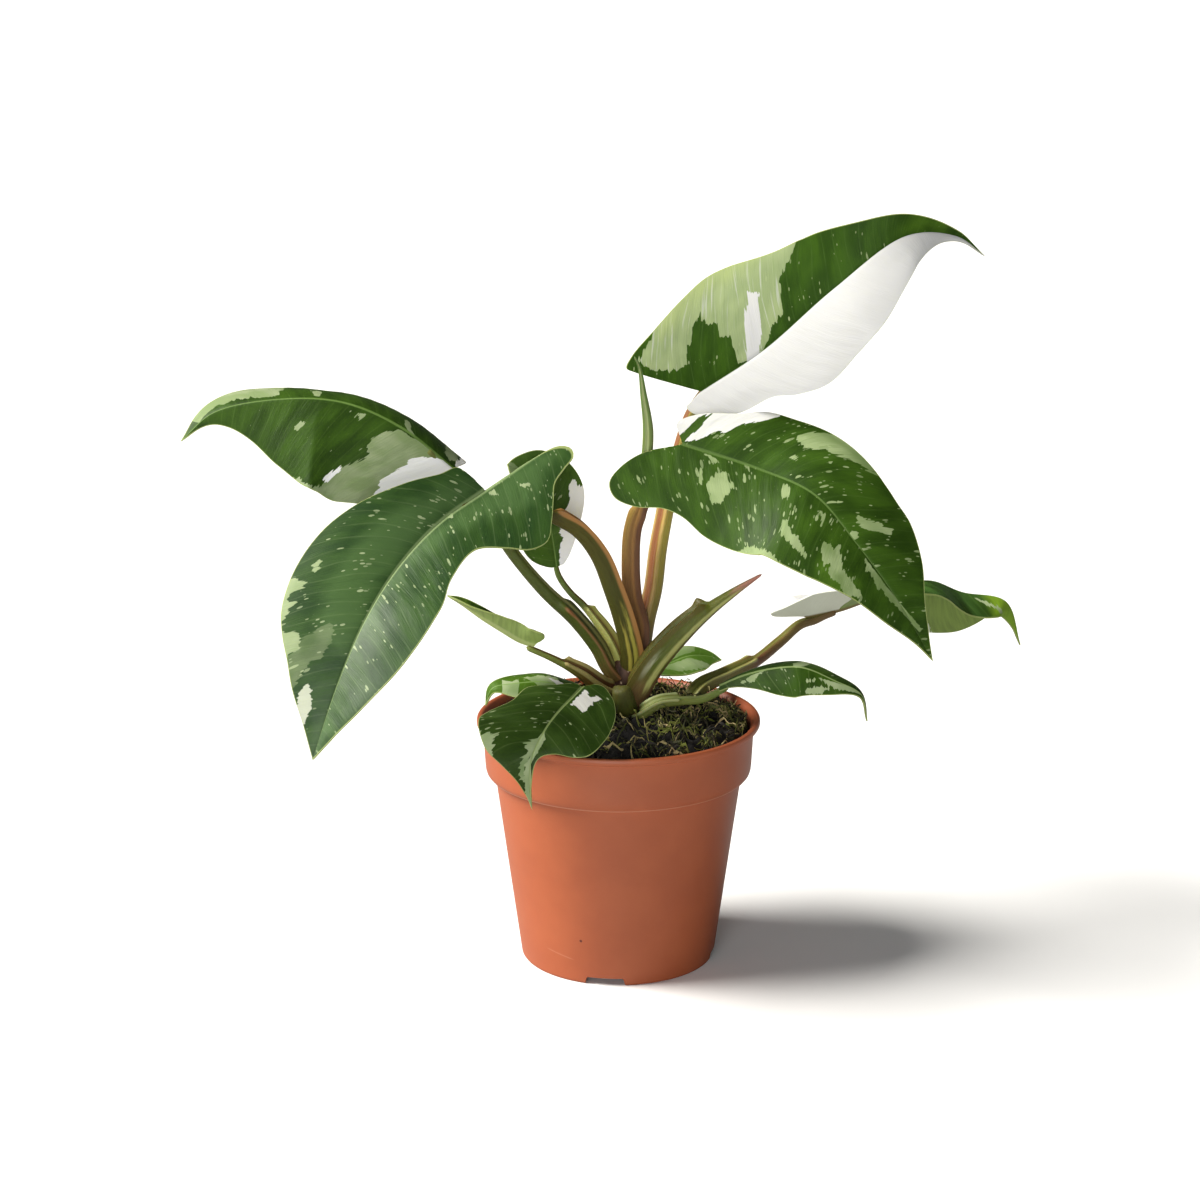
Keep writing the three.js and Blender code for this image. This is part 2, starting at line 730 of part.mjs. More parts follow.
function lathe(profile, sides) {
  const shape = profile.map((p) => new THREE.Vector2(p[0], p[1]));
  const geometry = new THREE.LatheGeometry(shape, sides);
  geometry.rotateX(Math.PI / 2);
  geometry.deleteAttribute('normal');
  geometry.deleteAttribute('uv');
  const merged = mergeVertices(geometry, 1e-3);
  const position = merged.getAttribute('position');
  const points = [];
  for (let i = 0; i < position.count; i += 1) {
    points.push(new THREE.Vector3().fromBufferAttribute(position, i));
  }
  const index = merged.getIndex().array;
  const faces = [];
  for (let i = 0; i < index.length; i += 3) faces.push([index[i], index[i + 1], index[i + 2]]);
  return closedBody(points, faces);
}

function bodyRadius(height) {
  return THREE.MathUtils.lerp(FOOT_RADIUS, BODY_TOP_RADIUS, height / COLLAR_BOTTOM);
}

function innerRadius(height) {
  const bodyTop = COLLAR_BOTTOM - 1;
  if (height <= bodyTop) return bodyRadius(height) - WALL;
  const collar = COLLAR_LOW_RADIUS + 0.1 - WALL;
  const share = Math.min((height - bodyTop) / 4, 1);
  const low = THREE.MathUtils.lerp(bodyRadius(bodyTop) - WALL, collar, share);
  const rise = Math.max(height - bodyTop - 4, 0) / (POT_HEIGHT - bodyTop - 4);
  return low + rise * (COLLAR_TOP_RADIUS - COLLAR_LOW_RADIUS);
}

function potGeometry() {
  const floorTop = FLOOR_UNDERSIDE + FLOOR_THICKNESS;
  const lipUnderside = POT_HEIGHT - LIP_HEIGHT;
  const footInner = FOOT_RADIUS - FOOT_RING_WIDTH;
  const profile = [
    [0, FLOOR_UNDERSIDE],
    [footInner - 1, FLOOR_UNDERSIDE],
    [footInner, 0],
    [FOOT_RADIUS - 0.7, 0],
    [bodyRadius(0.8), 0.8],
    [bodyRadius(COLLAR_BOTTOM), COLLAR_BOTTOM],
    [COLLAR_LOW_RADIUS - 1.4, COLLAR_BOTTOM + 0.5],
    [COLLAR_LOW_RADIUS - 0.3, COLLAR_BOTTOM + 2.2],
    [COLLAR_LOW_RADIUS, COLLAR_BOTTOM + 4.8],
    [COLLAR_TOP_RADIUS, lipUnderside - 0.6],
    [RIM_RADIUS - 0.5, lipUnderside],
    [RIM_RADIUS, lipUnderside + 0.7],
    [RIM_RADIUS, POT_HEIGHT - 0.7],
    [RIM_RADIUS - 0.7, POT_HEIGHT],
    [RIM_RADIUS - 2.2, POT_HEIGHT],
    [innerRadius(POT_HEIGHT - 3.5), POT_HEIGHT - 3.5],
    [innerRadius(COLLAR_BOTTOM + 3), COLLAR_BOTTOM + 3],
    [innerRadius(COLLAR_BOTTOM - 1), COLLAR_BOTTOM - 1],
    [innerRadius(floorTop + 2), floorTop + 2],
    [innerRadius(floorTop) - 1.8, floorTop],
    [0, floorTop],
  ];
  let pot = toSolid(lathe(profile, POT_SIDES));
  for (let i = 0; i < NOTCH_COUNT; i += 1) {
    const angle = THREE.MathUtils.degToRad(NOTCH_START_DEG + (i * 360) / NOTCH_COUNT);
    const half = NOTCH_WIDTH / 2;
    const outline = new THREE.Shape([
      new THREE.Vector2(-half, -1),
      new THREE.Vector2(half, -1),
      new THREE.Vector2(half - 1, NOTCH_HEIGHT),
      new THREE.Vector2(-half + 1, NOTCH_HEIGHT),
    ]);
    const notch = new THREE.ExtrudeGeometry(outline, { depth: FOOT_RING_WIDTH + 6, bevelEnabled: false });
    notch.rotateX(Math.PI / 2);
    notch.rotateZ(angle + Math.PI / 2);
    const reach = FOOT_RADIUS + 3;
    notch.translate(reach * Math.cos(angle), reach * Math.sin(angle), 0);
    notch.deleteAttribute('normal');
    notch.deleteAttribute('uv');
    pot = pot.subtract(toSolid(notch));
    const hole = new THREE.CylinderGeometry(DRAIN_RADIUS, DRAIN_RADIUS, 8, 16);
    hole.rotateX(Math.PI / 2);
    const out = DRAIN_CIRCLE_RADIUS;
    hole.translate(out * Math.cos(angle), out * Math.sin(angle), FLOOR_UNDERSIDE);
    hole.deleteAttribute('normal');
    hole.deleteAttribute('uv');
    pot = pot.subtract(toSolid(hole));
  }
  return toGeometry(pot);
}

// Height of the soil's uneven surface
function soilHeight(x, y) {
  const share = Math.min(Math.hypot(x, y) / innerRadius(SOIL_EDGE_HEIGHT), 1);
  const mound = SOIL_MOUND * (1 - share ** 1.6);
  const lumps = Math.sin(x * 0.31 + 1.3) * Math.cos(y * 0.27 + 0.4) + 0.6 * Math.sin(x * 0.53 - y * 0.47);
  return SOIL_EDGE_HEIGHT + mound + SOIL_TILT * x + lumps * (1.1 - 0.5 * share);
}

function soilGeometry() {
  const bottom = FLOOR_UNDERSIDE + FLOOR_THICKNESS + GAP;
  const points = [];
  const faces = [];
  const ring = (radius, height) => {
    const start = points.length;
    for (let i = 0; i < SOIL_SIDES; i += 1) {
      const angle = (2 * Math.PI * i) / SOIL_SIDES;
      const x = radius * Math.cos(angle);
      const y = radius * Math.sin(angle);
      points.push(new THREE.Vector3(x, y, height === null ? soilHeight(x, y) : height));
    }
    return start;
  };
  const join = (a, b) => {
    for (let i = 0; i < SOIL_SIDES; i += 1) {
      const j = (i + 1) % SOIL_SIDES;
      faces.push([a + i, b + i, b + j], [a + i, b + j, a + j]);
    }
  };
  points.push(new THREE.Vector3(0, 0, soilHeight(0, 0)), new THREE.Vector3(0, 0, bottom));
  const edge = innerRadius(SOIL_EDGE_HEIGHT - 2) - GAP;
  const tops = SOIL_RINGS.map((share) => ring(share * edge, null));
  for (let i = 0; i < SOIL_SIDES; i += 1) faces.push([0, tops[0] + i, tops[0] + ((i + 1) % SOIL_SIDES)]);
  for (let i = 1; i < tops.length; i += 1) join(tops[i - 1], tops[i]);
  const sides = [COLLAR_BOTTOM + 3, COLLAR_BOTTOM - 1, FLOOR_UNDERSIDE + FLOOR_THICKNESS + 2]
    .map((height) => ring(innerRadius(height) - GAP, height));
  const low = ring(innerRadius(bottom) - 2.2, bottom);
  let above = tops[tops.length - 1];
  for (const next of [...sides, low]) {
    join(above, next);
    above = next;
  }
  for (let i = 0; i < SOIL_SIDES; i += 1) faces.push([1, low + ((i + 1) % SOIL_SIDES), low + i]);
  return closedBody(points, faces);
}

function stemGeometry(grow) {
  const geometry = lathe([
    [0, STEM_BOTTOM - grow],
    [4.6 + grow, STEM_BOTTOM - grow],
    [6.6 + grow, STEM_BOTTOM + 16],
    [6.4 + grow, 116],
    [5.4 + grow, 120],
    [5.9 + grow, 124],
    [4.6 + grow, STEM_TOP - 1 + grow],
    [0, STEM_TOP + grow],
  ], 14);
  geometry.translate(STEM_X, 0, 0);
  return geometry;
}

const group = new THREE.Group();

function addMesh(name, geometry, colour, roughness) {
  const material = new THREE.MeshStandardMaterial({ color: colour, roughness, metalness: 0 });
  const mesh = new THREE.Mesh(geometry, material);
  mesh.name = name;
  group.add(mesh);
}

addMesh('pot', potGeometry(), COLOURS.pot, 0.55);
addMesh('stem', stemGeometry(0), COLOURS.stem, 0.8);

// A leaf's stalk runs on under the base of its midrib, so that the blade rests on it. The midrib
// stands out less below a blade whose halves are folded up.
function seated(stalk) {
  const leaf = LEAVES.find((other) => other.name === stalk.name.replace('_stalk', '_blade'));
  if (!leaf) return stalk;
  const { middle, normal } = bladeSheet(leaf).frame(SEAT_LENGTH);
  const fold = THREE.MathUtils.degToRad(mix(leaf.left.lift, 0) + mix(leaf.right.lift, 0));
  const ribDepth = fold > 0 ? RIB_DEPTH * Math.max(0.25, Math.cos(fold)) : RIB_DEPTH;
  const depth = ribDepth + BLADE_THICKNESS / 2 + GAP + 0.95 * stalk.radii[stalk.radii.length - 1];
  const end = middle.addScaledVector(normal, -depth);
  return { ...stalk, path: [...stalk.path.slice(0, -1), end.toArray()] };
}

// Each stalk is trimmed to leave the gap to the stem and to the stalks placed before it
const placed = [toSolid(stemGeometry(GAP))];
for (const stalk of STALKS.map(seated)) {
  let solid = toSolid(stalkGeometry(stalk, 0));
  for (const other of placed) solid = solid.subtract(other);
  addMesh(stalk.name, toGeometry(solid), stalk.colour, 0.5);
  placed.push(toSolid(stalkGeometry(stalk, GAP)));
}

let soil = toSolid(soilGeometry());
for (const other of placed) soil = soil.subtract(other);
addMesh('soil', toGeometry(soil), COLOURS.soil, 0.95);

for (const leaf of LEAVES) addMesh(leaf.name, bladeGeometry(leaf), leaf.colour, 0.4);

export default group;
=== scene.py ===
import math
import random

import bpy
import numpy as np
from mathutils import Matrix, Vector


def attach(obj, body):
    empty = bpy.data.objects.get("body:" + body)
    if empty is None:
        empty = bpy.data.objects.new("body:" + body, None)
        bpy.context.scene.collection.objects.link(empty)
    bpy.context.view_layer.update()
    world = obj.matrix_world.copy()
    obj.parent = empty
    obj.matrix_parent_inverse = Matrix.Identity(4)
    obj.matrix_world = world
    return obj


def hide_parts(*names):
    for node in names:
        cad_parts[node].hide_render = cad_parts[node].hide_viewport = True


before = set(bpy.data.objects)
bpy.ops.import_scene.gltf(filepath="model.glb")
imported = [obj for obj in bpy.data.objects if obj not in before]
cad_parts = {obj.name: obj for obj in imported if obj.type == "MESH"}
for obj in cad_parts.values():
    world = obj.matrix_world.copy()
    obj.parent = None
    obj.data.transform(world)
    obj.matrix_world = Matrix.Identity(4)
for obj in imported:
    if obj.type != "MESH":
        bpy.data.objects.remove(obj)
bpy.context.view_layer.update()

# Sizes are in millimetres, as in the part's source, and become metres where a mesh gets its corners
MM = 0.001

# Camera: a long lens a little above the plant, in metres and degrees from straight down
LENS_LENGTH = 80
CAMERA_PLACE = (-0.0078, -1.078, 0.445)
CAMERA_TILT = 75


def add_camera():
    lens = bpy.data.cameras.new("photo_camera")
    lens.lens = LENS_LENGTH
    lens.sensor_width = 36
    lens.clip_start = 0.05
    lens.clip_end = 50
    camera = bpy.data.objects.new("photo_camera", lens)
    camera.location = CAMERA_PLACE
    camera.rotation_euler = (math.radians(CAMERA_TILT), 0, 0)
    bpy.context.scene.collection.objects.link(camera)
    bpy.context.scene.camera = camera


add_camera()


# Light: a softened sun from the upper left, a wide weak light in front and a faint sky
SUN_DIRECTION = (0.80, 0.04, -0.70)
SUN_SOFTNESS = 34
FRONT_DIRECTION = (0.45, 2.7, -0.25)
FRONT_PLACE = (-0.45, -2.7, 0.45)
FRONT_WIDTH = 1.5
SKY_STRENGTH = 0.10


def add_light(kind, name, direction, energy, colour):
    lamp = bpy.data.lights.new(name, kind)
    lamp.energy = energy
    lamp.color = colour
    light = bpy.data.objects.new(name, lamp)
    light.rotation_euler = Vector(direction).to_track_quat("-Z", "Y").to_euler()
    bpy.context.scene.collection.objects.link(light)
    return light, lamp


def add_studio():
    _, sun = add_light("SUN", "sunlight", SUN_DIRECTION, 6.7, (1.0, 0.97, 0.91))
    sun.angle = math.radians(SUN_SOFTNESS)
    front, panel = add_light("AREA", "soft_front_light", FRONT_DIRECTION, 45, (0.97, 0.985, 1.0))
    front.location = FRONT_PLACE
    panel.shape = "DISK"
    panel.size = FRONT_WIDTH
    world = bpy.context.scene.world or bpy.data.worlds.new("studio")
    bpy.context.scene.world = world
    world.use_nodes = True
    background = world.node_tree.nodes["Background"]
    background.inputs["Color"].default_value = (0.96, 0.98, 1, 1)
    background.inputs["Strength"].default_value = SKY_STRENGTH
    bpy.context.scene.view_settings.view_transform = "Standard"


add_studio()


class Board:
    """Lays out the nodes of one material or group. Values may be numbers, colours or sockets."""

    def __init__(self, tree):
        self.tree = tree

    def add(self, kind, **settings):
        node = self.tree.nodes.new(kind)
        for key, value in settings.items():
            setattr(node, key, value)
        return node

    def feed(self, socket, value):
        if isinstance(value, bpy.types.NodeSocket):
            self.tree.links.new(value, socket)
        elif isinstance(value, tuple) and len(value) == 3 and socket.type == "RGBA":
            socket.default_value = (*value, 1)
        else:
            socket.default_value = value

    def math(self, operation, a, b=0.0, c=0.0):
        node = self.add("ShaderNodeMath", operation=operation)
        for socket, value in zip(node.inputs, (a, b, c)):
            self.feed(socket, value)
        return node.outputs[0]

    def times(self, a, b):
        return self.math("MULTIPLY", a, b)

    def plus(self, a, b):
        return self.math("ADD", a, b)

    def less(self, a, b):
        return self.math("SUBTRACT", a, b)

    def rest(self, a):
        return self.math("SUBTRACT", 1.0, a)

    def stretch(self, a, scale, shift):
        return self.math("MULTIPLY_ADD", a, scale, shift)

    def larger(self, a, b):
        return self.math("MAXIMUM", a, b)

    def mix(self, factor, a, b):
        node = self.add("ShaderNodeMix", data_type="RGBA")
        self.feed(node.inputs[0], factor)
        self.feed(node.inputs[6], a)
        self.feed(node.inputs[7], b)
        return node.outputs[2]

    def step(self, value, low, high):
        """A mask that rises smoothly from 0 at low to 1 at high."""
        node = self.add("ShaderNodeMapRange", interpolation_type="SMOOTHSTEP")
        for socket, number in zip(node.inputs, (value, low, high, 0.0, 1.0)):
            self.feed(socket, number)
        return node.outputs[0]

    def between(self, value, low, high, soft):
        """A mask that is 1 from low to high, with soft ends."""
        rise = self.step(value, low - soft, low + soft)
        return self.less(rise, self.step(value, high - soft, high + soft))

    def tint(self, colour, mask, strength, tone):
        """The colour with a share of another tone where the mask is."""
        return self.mix(self.times(mask, strength), colour, tone)

    def scaled(self, vector, scale, shift=(0, 0, 0)):
        node = self.add("ShaderNodeMapping")
        self.feed(node.inputs["Vector"], vector)
        node.inputs["Scale"].default_value = scale
        node.inputs["Location"].default_value = shift
        return node.outputs[0]

    def noise(self, vector, scale=1.0, detail=2.0, roughness=0.5):
        node = self.add("ShaderNodeTexNoise")
        self.feed(node.inputs["Vector"], vector)
        node.inputs["Scale"].default_value = scale
        node.inputs["Detail"].default_value = detail
        node.inputs["Roughness"].default_value = roughness
        return node.outputs[0]

    def cells(self, vector, scale=1.0):
        node = self.add("ShaderNodeTexVoronoi")
        self.feed(node.inputs["Vector"], vector)
        node.inputs["Scale"].default_value = scale
        return node.outputs["Distance"], node.outputs["Color"]

    def part(self, colour, index=0):
        node = self.add("ShaderNodeSeparateColor")
        self.feed(node.inputs[0], colour)
        return node.outputs[index]

    def uv(self, name):
        return self.add("ShaderNodeUVMap", uv_map=name).outputs[0]

    def attribute(self, name):
        return self.add("ShaderNodeAttribute", attribute_name=name).outputs["Fac"]

    def split(self, vector):
        node = self.add("ShaderNodeSeparateXYZ")
        self.feed(node.inputs[0], vector)
        return node.outputs

    def ramp(self, factor, stops):
        node = self.add("ShaderNodeValToRGB")
        self.feed(node.inputs[0], factor)
        keys = node.color_ramp.elements
        while len(keys) < len(stops):
            keys.new(0.5)
        for key, (place, colour) in zip(keys, stops):
            key.position = place
            key.color = (*colour, 1)
        return node.outputs[0]


def new_group(name, inputs, outputs):
    tree = bpy.data.node_groups.new(name, "ShaderNodeTree")
    for label, kind, value in inputs:
        socket = tree.interface.new_socket(label, in_out="INPUT", socket_type="NodeSocket" + kind)
        socket.default_value = (*value, 1) if kind == "Color" else value
    for label, kind in outputs:
        tree.interface.new_socket(label, in_out="OUTPUT", socket_type="NodeSocket" + kind)
    board = Board(tree)
    return board, board.add("NodeGroupInput").outputs, board.add("NodeGroupOutput").inputs


def new_material(name):
    material = bpy.data.materials.new(name)
    material.use_nodes = True
    tree = material.node_tree
    tree.nodes.clear()
    board = Board(tree)
    shader = board.add("ShaderNodeBsdfPrincipled")
    out = board.add("ShaderNodeOutputMaterial")
    tree.links.new(shader.outputs[0], out.inputs["Surface"])
    return material, board, shader


def use_group(board, group, **values):
    node = board.add("ShaderNodeGroup", node_tree=group)
    for label, value in values.items():
        board.feed(node.inputs[label.replace("_", " ")], value)
    return node.outputs


def bump(board, shader, height, distance, strength=1.0):
    node = board.add("ShaderNodeBump")
    node.inputs["Distance"].default_value = distance
    node.inputs["Strength"].default_value = strength
    board.feed(node.inputs["Height"], height)
    board.feed(shader.inputs["Normal"], node.outputs[0])


# Selecting and editing
def start_clean():
    if bpy.context.object and bpy.context.object.mode != "OBJECT":
        bpy.ops.object.mode_set(mode="OBJECT")
    bpy.ops.object.select_all(action="DESELECT")


def pick(piece):
    start_clean()
    bpy.context.view_layer.objects.active = piece
    piece.select_set(True)


def open_mesh(piece):
    """Edit mode with the whole mesh selected."""
    pick(piece)
    bpy.ops.object.mode_set(mode="EDIT")
    bpy.ops.mesh.select_all(action="SELECT")


def close_mesh():
    bpy.ops.object.mode_set(mode="OBJECT")


def merge_doubles(piece, distance=0.01 * MM):
    open_mesh(piece)
    bpy.ops.mesh.remove_doubles(threshold=distance)
    close_mesh()


def face_outward(piece):
    open_mesh(piece)
    bpy.ops.mesh.normals_make_consistent(inside=False)
    close_mesh()


def seat_in_place(piece):
    """Its place, turn and size go into its mesh."""
    pick(piece)
    bpy.ops.object.transform_apply(location=True, rotation=True, scale=True)


def apply_modifier(piece, kind, **settings):
    pick(piece)
    modifier = piece.modifiers.new("work", kind)
    for key, value in settings.items():
        setattr(modifier, key, value)
    bpy.ops.object.modifier_apply(modifier=modifier.name)


def smooth(piece, angle=40):
    pick(piece)
    bpy.ops.object.shade_smooth_by_angle(angle=math.radians(angle))


def corners(piece):
    co = np.zeros(len(piece.data.vertices) * 3)
    piece.data.vertices.foreach_get("co", co)
    return co.reshape(-1, 3)


def place_corners(piece, co):
    piece.data.vertices.foreach_set("co", np.asarray(co, float).ravel())
    piece.data.update()


def save_value(piece, name, values):
    attribute = piece.data.attributes.new(name, "FLOAT", "POINT")
    attribute.data.foreach_set("value", np.asarray(values, np.float32))


def save_uv(piece, name, pairs):
    layer = piece.data.uv_layers.get(name) or piece.data.uv_layers.new(name=name)
    index = np.zeros(len(piece.data.loops), np.int32)
    piece.data.loops.foreach_get("vertex_index", index)
    layer.data.foreach_set("uv", np.asarray(pairs, np.float32)[index].ravel())


def hand_over(piece, name, materials, node=None):
    """A finished piece with its name, materials and place in the part."""
    piece.name = name
    piece.data.name = name
    if not piece.data.materials:
        for material in materials:
            piece.data.materials.append(material)
    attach(piece, "root")
    if node:
        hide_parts(node)
    return piece


def through(points, steps):
    """A smooth line through points, drawn out as many places along it."""
    points = np.asarray(points, float)
    out = []
    for place in np.linspace(0, len(points) - 1, steps):
        i = min(int(place), len(points) - 2)
        w = place - i
        a = points[i - 1] if i > 0 else 2 * points[0] - points[1]
        b, c = points[i], points[i + 1]
        d = points[i + 2] if i + 2 < len(points) else 2 * points[-1] - points[-2]
        t0, t1, t2 = (max(np.sum((q - p) ** 2) ** 0.25, 1e-4) for p, q in ((a, b), (b, c), (c, d)))
        m1 = ((b - a) / t0 - (c - a) / (t0 + t1) + (c - b) / t1) * t1
        m2 = ((c - b) / t1 - (d - b) / (t1 + t2) + (d - c) / t2) * t1
        out.append(b + m1 * w + (3 * (c - b) - 2 * m1 - m2) * w**2 + (2 * (b - c) + m1 + m2) * w**3)
    return np.array(out)


def lengths_of(line):
    return np.r_[0, np.cumsum(np.linalg.norm(np.diff(line, axis=0), axis=1))]


def by_column(places, known, rows):
    """Each column of the rows, read between the places where they are known."""
    return np.stack([np.interp(places, known, column) for column in rows.T], -1)


def at_share(line, share):
    length = lengths_of(line)
    return by_column(np.asarray(share) * length[-1], length, line)


def unit(vectors):
    return vectors / np.maximum(np.linalg.norm(vectors, axis=-1, keepdims=True), 1e-12)


def spread(values, share):
    """One value for all, or evenly spaced values read at a share of the length."""
    if not isinstance(values, (list, tuple)):
        return np.full(np.shape(share), float(values))
    return np.interp(np.clip(share, 0, 1), np.linspace(0, 1, len(values)), values)


def ease(low, high, value):
    t = np.clip((value - low) / (high - low), 0, 1)
    return t * t * (3 - 2 * t)


# Leaf blades
BLADE_THICKNESS = 0.7
RIB_DEPTH = 1.0
RIB_STEPS = 200
FAN_SHARE = 0.3
SHOULDER = 0.1
VEIN_SLANT = 0.45
VEIN_BEND = 0.006
VEIN_RELIEF = 0.05
RIDGE_SPACING = 6.5
VEIN_SPACING = 6.0
MARGIN_WAVE = 0.5
GROOVE_DEPTH = 0.3
GROOVE_HALF = 0.55
KEEL_HALF = 0.9
PATTERN_LENGTH = 100
HALVES_APART = 60
FAR_FROM_PATCH = -15.0


class Sheet:
    """A leaf bent round its midrib: rib is the midrib from stalk to tip, face where the upper side
    looks, left and right the two halves, with their edge, lift and curl."""

    def __init__(self, rib, face, left, right):
        self.line = through(rib, RIB_STEPS + 1)
        self.length = lengths_of(self.line)
        self.total = self.length[-1]
        index = np.arange(RIB_STEPS + 1)
        ahead = self.line[np.minimum(index + 1, RIB_STEPS)]
        self.tangent = unit(ahead - self.line[np.maximum(index - 1, 0)])
        face = unit(np.asarray(face, float))
        share = self.length / self.total
        looks = by_column(share, np.linspace(0, 1, len(face)), face)
        self.normal = unit(looks - np.sum(looks * self.tangent, 1, keepdims=True) * self.tangent)
        self.halves = {1: right, -1: left}

    def frame(self, along):
        """Place, direction and upward side of the midrib, straight on past both its ends."""
        inside = np.clip(along, 0, self.total)
        tangent = unit(by_column(inside, self.length, self.tangent))
        middle = by_column(inside, self.length, self.line) + tangent * (along - inside)[..., None]
        return middle, tangent, unit(by_column(inside, self.length, self.normal))

    def place(self, half, along, across):
        """Where a spot of one half lies, with its lift from the midrib and its curl outwards."""
        middle, tangent, normal = self.frame(along)
        sideways = np.cross(tangent, normal)
        data = self.halves[half]
        width = max(p[1] for p in data["edge"])
        lift = np.radians(spread(data["lift"], along / self.total))
        curl = np.maximum(np.radians(spread(data["curl"], along / self.total)), 1e-3)
        angle = lift - curl * across / width
        out = width / curl * (np.sin(lift) - np.sin(angle))
        rise = width / curl * (np.cos(angle) - np.cos(lift))
        return middle + sideways * (half * out)[..., None] + normal * rise[..., None]

    def outline(self, half):
        edge = [(0, 0), *self.halves[half]["edge"], (self.total, 0)]
        return through([(x, y, 0) for x, y in edge], 600)[:, :2]


def row_ends(sheet, half, shares):
    """Where each row of a half meets the margin: fanned over its lobe, then even down the body."""
    line = sheet.outline(half)
    length = lengths_of(line) / lengths_of(line)[-1]
    shoulder = length[np.nonzero((length <= 0.75) & (line[:, 0] <= SHOULDER * sheet.total))[0][-1]]
    lobe = (length >= 0.05) & (length <= shoulder)
    angle = np.arctan2(line[lobe, 1], -line[lobe, 0])
    first = length[lobe][-1] if lobe.any() else 0.05
    if lobe.any():
        i = len(angle) - 1
        while i > 0 and angle[i - 1] <= angle[i]:
            i -= 1
        first = length[lobe][i]
    beyond = (shares - FAN_SHARE) / (1 - FAN_SHARE)
    fan = first + (shoulder - first) * (1 + beyond * (1 - FAN_SHARE) / FAN_SHARE)
    body = shoulder + (1 - shoulder) * beyond
    return at_share(line, np.where(beyond < 0, fan, body))


def inside_distance(points, polygon):
    """Distance from a polygon's edge in millimetres, positive inside it."""
    polygon = np.asarray(polygon, float)
    near = np.full(len(points), 1e9)
    inside = np.zeros(len(points), bool)
    for a, b in zip(polygon, np.roll(polygon, -1, 0)):
        along = b - a
        t = np.clip((points - a) @ along / max(along @ along, 1e-9), 0, 1)
        near = np.minimum(near, np.linalg.norm(points - a - t[:, None] * along, axis=1))
        crosses = (a[1] > points[:, 1]) != (b[1] > points[:, 1])
        slope = (b[0] - a[0]) / (b[1] - a[1] if abs(b[1] - a[1]) > 1e-9 else 1e-9)
        inside ^= crosses & (points[:, 0] < a[0] + slope * (points[:, 1] - a[1]))
    return np.where(inside, near, -near)


